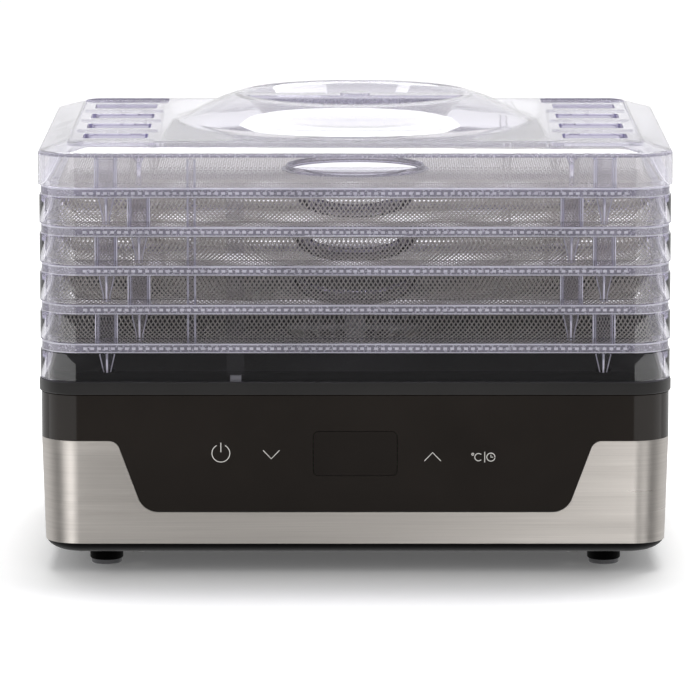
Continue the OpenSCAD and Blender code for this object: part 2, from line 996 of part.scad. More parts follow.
// Domed ring with a sunken bowl, as a turned shell
module grip_shell() {
    rim_r = grip_rim_d / 2;
    foot_r = grip_foot_d / 2;
    bowl_r = grip_bowl_d / 2;
    top = lid_plate_z + grip_h;
    rotate_extrude()
        polygon([
            [foot_r, lid_plate_z - clear_t], [foot_r, lid_plate_z],
            [rim_r + 14, top - 4.5], [rim_r + 3, top - 0.6], [rim_r, top],
            [rim_r - 2.5, top - 0.8], [bowl_r + 3, lid_plate_z + 0.5], [bowl_r, lid_plate_z],
            [0, lid_plate_z], [0, lid_plate_z - clear_t], [bowl_r, lid_plate_z - clear_t],
            [bowl_r + 4, lid_plate_z - 0.8], [rim_r - 1, top - 3.4], [rim_r + 3, top - 3],
            [rim_r + 13, top - 6.6], [foot_r - 3, lid_plate_z - clear_t]
        ]);
}

// Hollow bar across the bowl with a low boss in its middle
module grip_bar() {
    low = lid_plate_z - clear_t;
    top = lid_plate_z + grip_h - grip_bar_drop;
    hollow_x = grip_rim_d / 2 - grip_bar_inset;
    hollow_y = grip_bar_w / 2 - clear_t;
    difference() {
        intersection() {
            block([-half_w, half_w], [-grip_bar_w / 2, grip_bar_w / 2], [low, top]);
            disc(grip_rim_d - 2, low, top + eps);
        }
        block([-hollow_x, hollow_x], [-hollow_y, hollow_y], [low - eps, top - clear_t]);
    }
    disc(boss_top_d, top - eps, top + boss_top_h);
}

// Thicker plate below the recess round the vent slots
module vent_thickening() {
    for (s = [-1, 1])
        translate([s * vent_panel_x, 0, 0])
            slab(vent_panel_w, vent_panel_d - 2 * vent_rim, vent_panel_r,
                 lid_plate_z - clear_t - vent_panel_depth, lid_plate_z - vent_panel_depth);
}

module lid() {
    color(clear_colour) {
        difference() {
            union() {
                difference() {
                    lid_solid(0, lid_z);
                    lid_solid(clear_t, lid_z - 1);
                    disc(grip_foot_d - 2 * clear_t, lid_z, lid_plate_z + eps);
                }
                vent_thickening();
            }
            for (s = [-1, 1]) {
                translate([s * vent_panel_x, 0, 0]) {
                    slab(vent_panel_w, vent_panel_d, vent_panel_r,
                         lid_plate_z - vent_panel_depth, lid_plate_z + eps);
                    for (k = [-1.5:1:1.5])
                        translate([0, k * vent_pitch, 0])
                            slab(vent_slot_l, vent_slot_w, vent_slot_r, lid_z, lid_plate_z);
                }
            }
        }
        grip_shell();
        grip_bar();
        rotate(180)
            leg_places(false)
                translate([0, 0, lid_plate_z - lid_leg_drop])
                    leg(lid_top_h - lid_leg_drop);
    }
}

bottom_pan();
foot_front_left();
foot_front_right();
foot_rear_left();
foot_rear_right();
steel_wrap();
body_shell();
display_window();
display_module();
control_board();
touch_springs();
top_deck();
outlet_grille();
air_duct();
heat_shield();
motor_bracket();
fan_motor();
motor_bush();
motor_rotor();
motor_shaft();
fan_impeller();
impeller_nut();
heater_frame();
heater_coil();
thermal_fuse();
thermostat();
temperature_sensor();
power_board();
board_components();
terminal_block();
ribbon_cable();
mains_leads();
heater_leads();
cord_gland();
pan_screws();
board_screws();
motor_screws();
duct_screws();
tray_1();
tray_2();
tray_3();
tray_4();
tray_5();
lid();
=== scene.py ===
"""Looks for the five-tray food dehydrator: casing, deck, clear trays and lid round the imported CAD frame.

Lengths are metres; MM turns the millimetres of small details into metres. Main sizes and places come from
the boxes of the CAD nodes. Clear mouldings are closed solids, so they bend what is seen through them.
"""

import json
import math

import bmesh
import bpy
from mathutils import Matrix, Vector


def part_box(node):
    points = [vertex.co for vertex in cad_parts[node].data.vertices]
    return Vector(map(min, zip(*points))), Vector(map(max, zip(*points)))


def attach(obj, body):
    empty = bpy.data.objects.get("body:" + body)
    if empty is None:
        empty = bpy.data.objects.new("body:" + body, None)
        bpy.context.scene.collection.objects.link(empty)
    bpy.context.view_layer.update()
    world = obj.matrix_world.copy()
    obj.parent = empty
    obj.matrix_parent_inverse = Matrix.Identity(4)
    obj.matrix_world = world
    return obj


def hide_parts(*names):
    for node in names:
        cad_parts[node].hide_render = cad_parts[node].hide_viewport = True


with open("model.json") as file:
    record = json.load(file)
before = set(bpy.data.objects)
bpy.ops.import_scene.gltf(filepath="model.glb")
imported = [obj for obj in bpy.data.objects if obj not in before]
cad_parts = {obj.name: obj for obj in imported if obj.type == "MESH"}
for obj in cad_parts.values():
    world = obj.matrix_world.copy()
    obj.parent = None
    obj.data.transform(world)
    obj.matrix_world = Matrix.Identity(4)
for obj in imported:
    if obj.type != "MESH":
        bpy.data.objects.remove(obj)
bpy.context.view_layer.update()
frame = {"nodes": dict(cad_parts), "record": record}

MM = 0.001
TRAYS = (1, 2, 3, 4, 5)
SIDES = (-1, 1)
CORNER_STEPS = 14
TURN_STEPS = 128

# ---------- Sizes read from the frame ----------

LID_LOW, LID_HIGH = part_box("lid")
DECK_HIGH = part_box("top_deck")[1]
SHELL_LOW, SHELL_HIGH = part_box("body_shell")
WRAP_LOW, WRAP_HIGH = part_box("steel_wrap")
PAN_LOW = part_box("bottom_pan")[0]
TRAY_LOW, TRAY_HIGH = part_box("tray_1")
GLAND_LOW, GLAND_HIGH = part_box("cord_gland")

SOCKET_H = 15 * MM
RIM_Z = {k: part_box(f"tray_{k}")[1].z - SOCKET_H for k in TRAYS}
SKIRT_LOW = TRAY_LOW.z - RIM_Z[1]
LEDGE_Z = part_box("tray_5")[0].z - 0.3 * MM
CORNER_R = 22 * MM
SHELL_R = CORNER_R - 1 * MM
WRAP_LEAN = 1.8 * MM
SHEET_T = 0.8 * MM
WALL_T = 2 * MM


# ---------- Mesh building ----------


def rounded_loop(half_w, half_d, radius, z, steps=CORNER_STEPS, centre=(0, 0)):
    """Points round a rounded rectangle, anticlockwise seen from above."""
    loop = []
    for quarter, (sx, sy) in enumerate(((1, 1), (-1, 1), (-1, -1), (1, -1))):
        for i in range(steps + 1):
            a = math.pi / 2 * (quarter + i / steps)
            x = centre[0] + sx * (half_w - radius) + radius * math.cos(a)
            y = centre[1] + sy * (half_d - radius) + radius * math.sin(a)
            loop.append(Vector((x, y, z)))
    return loop


def circle_loop(radius, z, steps=TURN_STEPS, centre=(0, 0)):
    """Points round a circle, anticlockwise seen from above."""
    angles = [2 * math.pi * i / steps for i in range(steps)]
    return [Vector((centre[0] + radius * math.cos(a), centre[1] + radius * math.sin(a), z)) for a in angles]


def star_loop(arm, tip, core, z, centre):
    """Points round a four-armed section: arms thick at the core and thin at their tips."""
    quarter = ((arm, -tip), (arm, tip), (core, core))
    points = []
    for turn in range(4):
        for x, y in quarter:
            for _ in range(turn):
                x, y = -y, x
            points.append(Vector((centre[0] + x, centre[1] + y, z)))
    return points


def loft(bm, loops, closed=False):
    """Skins one loop to the next. A closed loft joins its last loop to its first; an open one is capped."""
    rings = [[bm.verts.new(p) for p in loop] for loop in loops]
    pairs = list(zip(rings, rings[1:]))
    if closed:
        pairs.append((rings[-1], rings[0]))
    for low, high in pairs:
        for i, corner in enumerate(low):
            j = (i + 1) % len(low)
            bm.faces.new((corner, low[j], high[j], high[i]))
    if not closed:
        bm.faces.new(rings[0])
        bm.faces.new(rings[-1])


def solid(name, *lofts):
    """A new object from lofts, each (loops, closed)."""
    bm = bmesh.new()
    for loops, closed in lofts:
        loft(bm, loops, closed)
    bmesh.ops.recalc_face_normals(bm, faces=bm.faces)
    mesh = bpy.data.meshes.new(name)
    bm.to_mesh(mesh)
    bm.free()
    obj = bpy.data.objects.new(name, mesh)
    bpy.context.scene.collection.objects.link(obj)
    return obj


def swept(profile, half_w, half_d, radius):
    """A closed section of (inset, z) points carried round a rounded rectangle."""
    return [rounded_loop(half_w - inset, half_d - inset, radius - inset, z) for inset, z in profile], True


def turned(profile, centre=(0, 0), steps=TURN_STEPS):
    """A closed section of (radius, z) points turned about a vertical axis."""
    return [circle_loop(r, z, steps, centre) for r, z in profile], True


def disc(radius, low, high, centre=(0, 0), steps=TURN_STEPS):
    """An upright cylinder."""
    return [circle_loop(radius, low, steps, centre), circle_loop(radius, high, steps, centre)], False


def slab(half_w, half_d, radius, low, high, centre=(0, 0), steps=CORNER_STEPS):
    """An upright block with rounded corners, given by its half sizes."""
    return [rounded_loop(half_w, half_d, radius, z, steps, centre) for z in (low, high)], False


def block(low, high):
    """A square-edged block between two opposite corners."""
    corners = ((low[0], low[1]), (high[0], low[1]), (high[0], high[1]), (low[0], high[1]))
    return [[Vector((x, y, z)) for x, y in corners] for z in (low[2], high[2])], False


def in_mm(points):
    """Points given in millimetres, in metres."""
    return [tuple(value * MM for value in point) for point in points]


def combine(obj, tool, operation):
    """Joins, cuts or trims obj with tool, and removes tool."""
    modifier = obj.modifiers.new("combine", "BOOLEAN")
    modifier.solver = "MANIFOLD"
    modifier.operation = operation
    modifier.object = tool
    bpy.context.view_layer.update()
    evaluated = obj.evaluated_get(bpy.context.evaluated_depsgraph_get())
    mesh = bpy.data.meshes.new_from_object(evaluated)
    obj.modifiers.clear()
    obj.data = mesh
    bpy.data.objects.remove(tool)


def join(obj, *lofts):
    """Adds solids that don't touch one another."""
    combine(obj, solid("tool", *lofts), "UNION")


def cut(obj, *lofts):
    """Cuts away solids that don't touch one another."""
    combine(obj, solid("tool", *lofts), "DIFFERENCE")


def smooth(obj, angle=32):
    """Smooth shading, with edges over the angle kept sharp."""
    obj.data.shade_smooth()
    obj.data.set_sharp_from_angle(angle=math.radians(angle))


def bevel(obj, width, angle=50):
    """A narrow round on the hard edges, which gives them their highlight."""
    modifier = obj.modifiers.new("edge_round", "BEVEL")
    modifier.width = width
    modifier.segments = 2
    modifier.limit_method = "ANGLE"
    modifier.angle_limit = math.radians(angle)


def place(obj, body, slot, *nodes):
    """Gives a finished piece its body, the slot's material and the CAD nodes that it stands for."""
    obj.data.materials.clear()
    obj.data.materials.append(MATERIALS[slot])
    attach(obj, body)
    if nodes:
        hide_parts(*nodes)
    return obj


# ---------- Materials ----------


def new_material(name, colour, roughness, **sockets):
    """A Principled material with plain values, and its node tree and shader."""
    material = bpy.data.materials.new(name)
    material.use_nodes = True
    tree = material.node_tree
    shader = tree.nodes["Principled BSDF"]
    shader.inputs["Base Color"].default_value = (*colour, 1)
    shader.inputs["Roughness"].default_value = roughness
    for socket, value in sockets.items():
        shader.inputs[socket.replace("_", " ")].default_value = value
    return material, tree, shader


def noise(tree, scale, detail=4.0, stretch=(1, 1, 1)):
    """Noise over the object's own coordinates, in cycles per metre, stretched along each axis."""
    where = tree.nodes.new("ShaderNodeTexCoord")
    mapping = tree.nodes.new("ShaderNodeMapping")
    mapping.inputs["Scale"].default_value = stretch
    texture = tree.nodes.new("ShaderNodeTexNoise")
    texture.inputs["Scale"].default_value = scale
    texture.inputs["Detail"].default_value = detail
    tree.links.new(where.outputs["Object"], mapping.inputs["Vector"])
    tree.links.new(mapping.outputs["Vector"], texture.inputs["Vector"])
    return texture.outputs["Fac"]


def spread(tree, source, low, high):
    """Maps the middle of a noise onto the range from low to high."""
    node = tree.nodes.new("ShaderNodeMapRange")
    node.inputs["From Min"].default_value = 0.3
    node.inputs["From Max"].default_value = 0.7
    node.inputs["To Min"].default_value = low
    node.inputs["To Max"].default_value = high
    tree.links.new(source, node.inputs["Value"])
    return node.outputs["Result"]


def vary_colour(tree, shader, factor, dark, light):
    """Runs the base colour between two colours."""
    mix = tree.nodes.new("ShaderNodeMix")
    mix.data_type = "RGBA"
    mix.inputs["A"].default_value = (*dark, 1)
    mix.inputs["B"].default_value = (*light, 1)
    tree.links.new(factor, mix.inputs["Factor"])
    tree.links.new(mix.outputs["Result"], shader.inputs["Base Color"])


def bump(tree, shader, source, strength, distance):
    """Raises and lowers the shading by a source of heights."""
    node = tree.nodes.new("ShaderNodeBump")
    node.inputs["Strength"].default_value = strength
    node.inputs["Distance"].default_value = distance
    tree.links.new(source, node.inputs["Height"])
    tree.links.new(node.outputs["Normal"], shader.inputs["Normal"])


def scaled(colour, factor):
    """A colour made lighter or darker."""
    return tuple(min(c * factor, 1) for c in colour)


def plastic(name, colour, roughness, grain=900, depth=0.02, variation=0.12, **sockets):
    """Moulded plastic or rubber: a fine grain, uneven gloss and a slight drift of colour."""
    material, tree, shader = new_material(name, colour, roughness, **sockets)
    fine = noise(tree, grain)
    broad = spread(tree, noise(tree, 18, 2), 0, 1)
    tree.links.new(spread(tree, fine, roughness * 0.85, roughness * 1.2), shader.inputs["Roughness"])
    vary_colour(tree, shader, broad, scaled(colour, 1 - variation), scaled(colour, 1 + variation))
    bump(tree, shader, fine, depth, 0.1 * MM)
    return material


def brushed_metal(name, colour, roughness, anisotropy):
    """Sheet brushed along the horizontal: long fine streaks in colour, gloss and height."""
    material, tree, shader = new_material(name, colour, roughness, Metallic=1.0, Anisotropic=anisotropy)
    tangent = tree.nodes.new("ShaderNodeTangent")
    tangent.direction_type = "RADIAL"
    tangent.axis = "Z"
    tree.links.new(tangent.outputs["Tangent"], shader.inputs["Tangent"])
    streaks = noise(tree, 1500, 3, (0.01, 0.01, 1))
    broad = noise(tree, 220, 2, (0.02, 0.02, 1))
    tree.links.new(spread(tree, broad, roughness * 0.9, roughness * 1.1), shader.inputs["Roughness"])
    vary_colour(tree, shader, spread(tree, streaks, 0, 1), scaled(colour, 0.93), scaled(colour, 1.05))
    bump(tree, shader, streaks, 0.06, 0.02 * MM)
    return material


def cast_metal(name, colour, roughness, metallic=1.0):
    """Plain metal with a mottled surface."""
    material, tree, shader = new_material(name, colour, roughness, Metallic=metallic)
    mottle = noise(tree, 260, 5)
    tree.links.new(spread(tree, mottle, roughness * 0.7, roughness * 1.3), shader.inputs["Roughness"])
    vary_colour(tree, shader, spread(tree, mottle, 0, 1), scaled(colour, 0.85), scaled(colour, 1.1))
    bump(tree, shader, mottle, 0.1, 0.05 * MM)
    return material


def striped(name, colour, roughness, pitch, axis, metallic=0.0):
    """Stacked or wound layers: fine stripes across one axis."""
    material, tree, shader = new_material(name, colour, roughness, Metallic=metallic)
    where = tree.nodes.new("ShaderNodeTexCoord")
    wave = tree.nodes.new("ShaderNodeTexWave")
    wave.bands_direction = axis
    wave.inputs["Scale"].default_value = 0.314 / pitch
    wave.inputs["Distortion"].default_value = 0.3
    tree.links.new(where.outputs["Object"], wave.inputs["Vector"])
    vary_colour(tree, shader, wave.outputs["Fac"], scaled(colour, 0.7), scaled(colour, 1.15))
    bump(tree, shader, wave.outputs["Fac"], 0.3, 0.2 * MM)
    return material


def board(name, mask, track):
    """Circuit board: solder mask with a maze of slightly raised tracks."""
    material, tree, shader = new_material(name, mask, 0.35)
    where = tree.nodes.new("ShaderNodeTexCoord")
    cells = tree.nodes.new("ShaderNodeTexVoronoi")
    cells.distance = "CHEBYCHEV"
    cells.feature = "DISTANCE_TO_EDGE"
    cells.inputs["Scale"].default_value = 220
    edge = tree.nodes.new("ShaderNodeMath")
    edge.operation = "LESS_THAN"
    edge.inputs[1].default_value = 0.09
    tree.links.new(where.outputs["Object"], cells.inputs["Vector"])
    tree.links.new(cells.outputs["Distance"], edge.inputs[0])
    vary_colour(tree, shader, edge.outputs["Value"], mask, track)
    bump(tree, shader, edge.outputs["Value"], 0.4, 0.05 * MM)
    return material


def clear_moulding(name, tint, roughness, depth_colour, depth_density, clarity=1.0):
    """Clear plastic that bends light, darkens to violet where it is deep, and lets lamps through."""
    material, tree, shader = new_material(name, tint, roughness, Transmission_Weight=clarity, IOR=1.47)
    flow = noise(tree, 45, 2)
    tree.links.new(spread(tree, flow, roughness * 0.6, roughness * 1.4), shader.inputs["Roughness"])
    bump(tree, shader, flow, 0.06, 0.5 * MM)
    depth = tree.nodes.new("ShaderNodeVolumeAbsorption")
    depth.inputs["Color"].default_value = (*depth_colour, 1)
    depth.inputs["Density"].default_value = depth_density
    clear = tree.nodes.new("ShaderNodeBsdfTransparent")
    clear.inputs["Color"].default_value = (*tint, 1)
    path = tree.nodes.new("ShaderNodeLightPath")
    mix = tree.nodes.new("ShaderNodeMixShader")
    output = tree.nodes["Material Output"]
    tree.links.new(path.outputs["Is Shadow Ray"], mix.inputs["Fac"])
    tree.links.new(shader.outputs["BSDF"], mix.inputs[1])
    tree.links.new(clear.outputs["BSDF"], mix.inputs[2])
    tree.links.new(mix.outputs["Shader"], output.inputs["Surface"])
    tree.links.new(depth.outputs["Volume"], output.inputs["Volume"])
    return material


VIOLET_DEPTH = (0.66, 0.62, 0.83)

MATERIALS = {
    "black_gloss": plastic("black_gloss", (0.016, 0.013, 0.011), 0.1, 500, 0.006, Specular_IOR_Level=0.3),
    "black_satin": plastic("black_satin", (0.03, 0.0285, 0.028), 0.36, 1400, 0.015),
    "pan_plastic": plastic(
        "pan_plastic", (0.0045, 0.004, 0.0045), 0.42, 1600, 0.06, Specular_IOR_Level=0.06),
    "window_plastic": plastic(
        "window_plastic", (0.016, 0.013, 0.011), 0.06, 300, 0.004, Specular_IOR_Level=0.35),
    "foot_rubber": plastic("foot_rubber", (0.002, 0.002, 0.002), 0.7, 1100, 0.1, Specular_IOR_Level=0.06),
    "gland_rubber": plastic("gland_rubber", (0.015, 0.015, 0.015), 0.65, 900, 0.1),
    "white_plastic": plastic("white_plastic", (0.75, 0.74, 0.71), 0.4, 800, 0.03),
    "fan_plastic": plastic("fan_plastic", (0.8, 0.8, 0.76), 0.35, 800, 0.03),
    "component_plastic": plastic("component_plastic", (0.04, 0.08, 0.22), 0.3, 700, 0.03),
    "thermostat_body": plastic("thermostat_body", (0.12, 0.07, 0.04), 0.45, 700, 0.05),
    "sensor_bead": plastic("sensor_bead", (0.8, 0.8, 0.78), 0.3, 700, 0.02),
    "fuse_body": plastic("fuse_body", (0.8, 0.79, 0.74), 0.25, 600, 0.03),
    "cable_sleeve": plastic("cable_sleeve", (0.25, 0.25, 0.27), 0.5, 900, 0.06),
    "lead_sleeve": plastic("lead_sleeve", (0.5, 0.04, 0.03), 0.5, 900, 0.06),
    "mica": plastic("mica", (0.62, 0.54, 0.38), 0.35, 260, 0.15, 0.25),
    "steel": brushed_metal("steel", (0.57, 0.535, 0.5), 0.3, 0.7),
    "sheet_metal": brushed_metal("sheet_metal", (0.72, 0.72, 0.71), 0.3, 0.4),
    "spring_steel": cast_metal("spring_steel", (0.7, 0.55, 0.3), 0.3),
    "zinc_steel": cast_metal("zinc_steel", (0.62, 0.62, 0.6), 0.35),
    "shaft_steel": cast_metal("shaft_steel", (0.7, 0.7, 0.7), 0.18),
    "bronze": cast_metal("bronze", (0.6, 0.38, 0.16), 0.4),
    "heater_wire": cast_metal("heater_wire", (0.35, 0.25, 0.2), 0.55),
    "motor_iron": striped("motor_iron", (0.22, 0.22, 0.24), 0.4, 1 * MM, "Z", 0.8),
    "circuit_board": board("circuit_board", (0.02, 0.14, 0.05), (0.05, 0.26, 0.1)),
    "phenolic_board": board("phenolic_board", (0.36, 0.22, 0.08), (0.5, 0.33, 0.14)),
    "clear_plastic": clear_moulding("clear_plastic", (0.925, 0.92, 0.94), 0.015, VIOLET_DEPTH, 30),
}
frosted_plastic = clear_moulding("frosted_plastic", (0.95, 0.94, 0.97), 0.1, VIOLET_DEPTH, 40)
lid_plastic = clear_moulding("lid_plastic", (0.87, 0.865, 0.89), 0.015, VIOLET_DEPTH, 30, 0.93)
grip_core_plastic = plastic(
    "grip_core_plastic", (0.8, 0.79, 0.86), 0.25, 900, 0.02, Transmission_Weight=0.8)
collar_plastic = clear_moulding("collar_plastic", (0.85, 0.84, 0.9), 0.03, (0.46, 0.42, 0.58), 260)
# Painted shade: violet-grey, half see-through plastic standing in for the dark look of clear rims and of
# the lid's bend.
shade_band_plastic = plastic("shade_band_plastic", (0.55, 0.53, 0.62), 0.25, 900, 0.02, Transmission_Weight=0.5)
# Painted highlight: light plastic for the lines that stand in for the highlights of clear edges.
highlight_plastic = plastic("highlight_plastic", (0.82, 0.81, 0.88), 0.2, 900, 0.02)
mesh_plastic = plastic("mesh_plastic", (0.48, 0.455, 0.41), 0.3, 900, 0.02)
# Painted shade: a darker, rougher copy of the deck's plastic for its raised floor under the trays.
deck_floor_shade_plastic = plastic(
    "deck_floor_shade_plastic", (0.008, 0.0075, 0.0075), 0.5, 1400, 0.01, Specular_IOR_Level=0.05)
foot_pad_rubber = plastic("foot_pad_rubber", (0.2, 0.2, 0.21), 0.6, 900, 0.08)
icon_ink = plastic("icon_ink", (0.78, 0.76, 0.72), 0.5, 800, 0.02)


def finish_cad_nodes():
    """Puts the slot materials on the CAD nodes that stay visible."""
    for part in frame["record"]["subparts"]:
        mesh = frame["nodes"][part["node"]].data
        mesh.materials.clear()
        mesh.materials.append(MATERIALS[part["material_slot"]])


finish_cad_nodes()


# ---------- Base ----------

NOTCH_TOP_X = 127.9 * MM
NOTCH_LOW_X = 113.7 * MM
NOTCH_Z = 33.4 * MM
GLAND_X = (GLAND_LOW.x + GLAND_HIGH.x) / 2
GLAND_Z = (GLAND_LOW.z + GLAND_HIGH.z) / 2
GLAND_R = 7 * MM


def lean_at(z):
    """How far the leaning side wall has moved inwards at a height."""
    share = (WRAP_HIGH.z - z) / (WRAP_HIGH.z - WRAP_LOW.z)
    return WRAP_LEAN * min(max(share, 0), 1)


def panel_y(z):
    """The front surface of the casing at a height."""
    return SHELL_LOW.y + lean_at(z)


def shell_sweep(profile):
    """A section of (inset, z) points carried round the casing's walls."""
    return swept(profile, SHELL_HIGH.x, SHELL_HIGH.y, SHELL_R)


def fillet(before, corner, after, radius, steps=10):
    """Points that round a corner of an outline."""
    u, v = (before - corner).normalized(), (after - corner).normalized()
    half = u.angle(v) / 2
    centre = corner + (u + v).normalized() * radius / math.sin(half)
    start, end = corner + u * radius / math.tan(half), corner + v * radius / math.tan(half)
    return [centre + (start.lerp(end, i / steps) - centre).normalized() * radius for i in range(steps + 1)]


def notch_outline():
    """The front opening of the steel wrap, as (x, z) points."""
    reach = Vector((NOTCH_TOP_X + 17 * MM, WRAP_HIGH.z))
    top, low = Vector((NOTCH_TOP_X, WRAP_HIGH.z)), Vector((NOTCH_LOW_X, NOTCH_Z))
    bottom = Vector((0, NOTCH_Z))
    right = fillet(bottom, low, top, 11.4 * MM) + fillet(low, top, reach, 6 * MM)
    right += [reach, reach + Vector((0, MM))]
    return right + [Vector((-p.x, p.y)) for p in reversed(right)]


def front_prism(outline):
    """An (x, z) outline carried through the front wall."""
    front, back = SHELL_LOW.y - 5 * MM, SHELL_LOW.y + 9 * MM
    return [[Vector((p.x, y, p.y)) for p in outline] for y in (front, back)], False


def rear_hole(radius):
    """A hole through the rear wall for the cord gland."""
    loops = []
    for y in (SHELL_HIGH.y - 12 * MM, SHELL_HIGH.y + 5 * MM):
        loops.append([Vector((GLAND_X + p.x, y, GLAND_Z + p.y)) for p in circle_loop(radius, 0, 48)])
    return loops, False


def make_steel_wrap():
    """Brushed steel band round the casing, open at the front for the panel."""
    low, high = WRAP_LOW.z, WRAP_HIGH.z
    wrap = solid("steel_band", shell_sweep([
        (WRAP_LEAN, low), (0, high), (SHEET_T, high), (SHEET_T + WRAP_LEAN, low),
    ]))
    cut(wrap, front_prism(notch_outline()))
    cut(wrap, rear_hole(GLAND_R))
    bevel(wrap, 0.22 * MM)
    smooth(wrap)
    place(wrap, "base", "steel", "steel_wrap")


def window_outline(grow):
    """The display window's rounded outline, as (x, z) points, grown by a margin."""
    low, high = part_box("display_window")
    half_w, half_h = (high.x - low.x) / 2 + grow, (high.z - low.z) / 2 + grow
    centre = ((low.x + high.x) / 2, (low.z + high.z) / 2)
    return [Vector((p.x, p.y)) for p in rounded_loop(half_w, half_h, 3 * MM + grow, 0, 8, centre)]


def make_casing():
    """Glossy black shell: the band above the steel and the panel that fills the steel's opening."""
    low, high, top = WRAP_LOW.z, WRAP_HIGH.z, SHELL_HIGH.z
    wall = 4 * MM
    casing = solid("casing", shell_sweep([
        (WRAP_LEAN + SHEET_T, low), (SHEET_T, high - 0.02 * MM), (0, high), (0, top - 0.5 * MM),
        (0.5 * MM, top), (wall, top), (wall + WRAP_LEAN, low),
    ]))
    panel = solid("panel", shell_sweep([
        (WRAP_LEAN, low), (0, high), (wall - MM, high), (wall - MM + WRAP_LEAN, low),
    ]))
    inset = 0.12 * MM
    outline = [Vector((p.x - math.copysign(inset, p.x), p.y + inset)) for p in notch_outline()]
    combine(panel, solid("tool", front_prism(outline)), "INTERSECT")
    combine(casing, panel, "UNION")
    cut(casing, front_prism(window_outline(0.25 * MM)))
    cut(casing, rear_hole(GLAND_R))
    smooth(casing)
    place(casing, "base", "black_gloss", "body_shell")


def ribbon(points, width, closed=False):
    """A thin flat line laid on the front panel along (x, z) points."""
    loops = []
    count = len(points)
    for i, p in enumerate(points):
        before = points[i - 1] if closed or i else p
        after = points[(i + 1) % count] if closed or i < count - 1 else p
        along = (after - before).normalized()
        across = Vector((-along.y, along.x)) * width / 2
        rim = [p + across, p - across]
        proud, sunk = 0.06 * MM, -0.2 * MM
        loops.append([Vector((q.x, panel_y(q.y) - out, q.y)) for q, out in
                      ((rim[0], proud), (rim[1], proud), (rim[1], sunk), (rim[0], sunk))])
    return loops, closed


def arc(centre, radius, start, end, steps=28):
    """Points of an arc, its angles in degrees anticlockwise from the right."""
    angles = [math.radians(start + (end - start) * i / steps) for i in range(steps + 1)]
    x, y = centre
    return [Vector((x + radius * math.cos(a), y + radius * math.sin(a))) * MM for a in angles]


def line(*points):
    """A bent line through points given in millimetres."""
    return [Vector(p) * MM for p in points]


def make_icons():
    """Touch marks on the panel: power, down, up, and the temperature and time mark."""
    pen = 0.44 * MM
    power, down, up, mode = (-72, 65.6), (-45, 64.8), (41.5, 63.8), (68.7, 63.5)
    wing, rise, dip = 4.4, 2.4, 2.2
    strokes = {
        "icon_power": (
            arc(power, 4.8, 118, 422),
            line((power[0], power[1] + 5.8), (power[0], power[1] + 0.6)),
        ),
        "icon_down": (
            line((down[0] - wing, down[1] + rise), (down[0], down[1] - dip),
                 (down[0] + wing, down[1] + rise)),
        ),
        "icon_up": (
            line((up[0] - wing, up[1] - rise), (up[0], up[1] + dip), (up[0] + wing, up[1] - rise)),
        ),
        "icon_mode": (
            arc((mode[0] - 5.7, mode[1] + 1.6), 0.55, 0, 345, 14),
            arc((mode[0] - 2.6, mode[1]), 2, 45, 315),
            line((mode[0] + 0.7, mode[1] + 2.9), (mode[0] + 0.7, mode[1] - 2.9)),
            arc((mode[0] + 4, mode[1]), 2.2, 0, 352),
            line((mode[0] + 4, mode[1] + 1.3), (mode[0] + 4, mode[1]), (mode[0] + 5.2, mode[1])),
        ),
    }
    for name, lines in strokes.items():
        icon = solid(name, *(ribbon(points, pen) for points in lines))
        place(icon, "base", "white_plastic")
        icon.data.materials[0] = icon_ink


def make_pan():
    """Bottom pan with its turned-under edge and the radial air intake below the fan."""
    low, seam = PAN_LOW.z, WRAP_LOW.z
    half_w, half_d = SHELL_HIGH.x - WRAP_LEAN, SHELL_HIGH.y - WRAP_LEAN
    edge = in_mm(((17, 0), (11.5, 0.7), (7, 1.7), (4.2, 2.9), (2.2, 4.3), (0.9, 5.7), (0.3, 6.9)))
    profile = [(inset, low + h) for inset, h in edge]
    profile += [(0.3 * MM, seam - 0.2 * MM), (7 * MM, seam - 0.2 * MM)]
    profile += [(9 * MM, low + 2.5 * MM), (40 * MM, low + 2.5 * MM), (40 * MM, low)]
    loops = [rounded_loop(half_w - i, half_d - i, max(SHELL_R - i, 5 * MM), z) for i, z in profile]
    pan = solid("pan", (loops, True))
    floor = slab(half_w - 39.9 * MM, half_d - 39.9 * MM, 5 * MM, low, low + 2.5 * MM)
    join(pan, floor)
    slots = []
    for k in range(12):
        a = (k + 0.5) * math.pi / 6
        along, across = Vector((math.cos(a), math.sin(a))), Vector((-math.sin(a), math.cos(a))) * 1.75 * MM
        for near, far in ((18 * MM, 32 * MM), (37 * MM, 52 * MM)):
            start, end = along * near, along * far
            outline = (start - across, end - across, end + across, start + across)
            ends = [[Vector((p.x, p.y, z)) for p in outline] for z in (low - MM, low + 4 * MM)]
            slots.append((ends, False))
    cut(pan, *slots)
    smooth(pan)
    place(pan, "base", "pan_plastic", "bottom_pan")


def make_feet():
    """Rubber feet, each with a paler ring that stands on the table."""
    for side in ("left", "right"):
        for end in ("front", "rear"):
            node = f"foot_{end}_{side}"
            low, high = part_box(node)
            centre = ((low.x + high.x) / 2, (low.y + high.y) / 2)
            body = in_mm(((0.01, 2.4), (8.2, 2.4), (8.7, 2.7), (9, 3.3), (9, 8.4), (8.6, 9.0), (0.01, 9.0)))
            foot = solid(node + "_body", turned(body, centre, 48))
            smooth(foot)
            place(foot, "base", "foot_rubber", node)
            ring = in_mm(((3.6, 0.4), (3.9, 0), (7.7, 0), (8.2, 0.5), (8.2, 2.4), (3.6, 2.4)))
            pad = solid(node + "_pad", turned(ring, centre, 48))
            smooth(pad)
            place(pad, "base", "foot_rubber", node)
            pad.data.materials[0] = foot_pad_rubber


def leg_places(turned_round=False):
    """Centres of one tray's legs: the outer pair in front and the inner pair behind."""
    sign = -1 if turned_round else 1
    pairs = ((LEG_OUTER_X, -LEG_Y), (LEG_INNER_X, LEG_Y))
    return [(sign * s * x, sign * y) for x, y in pairs for s in SIDES]


LEG_OUTER_X = 133 * MM
LEG_INNER_X = 115.5 * MM
LEG_Y = DECK_HIGH.y - 11 * MM
OUTLET_R = 41 * MM
PAD_X = -64 * MM


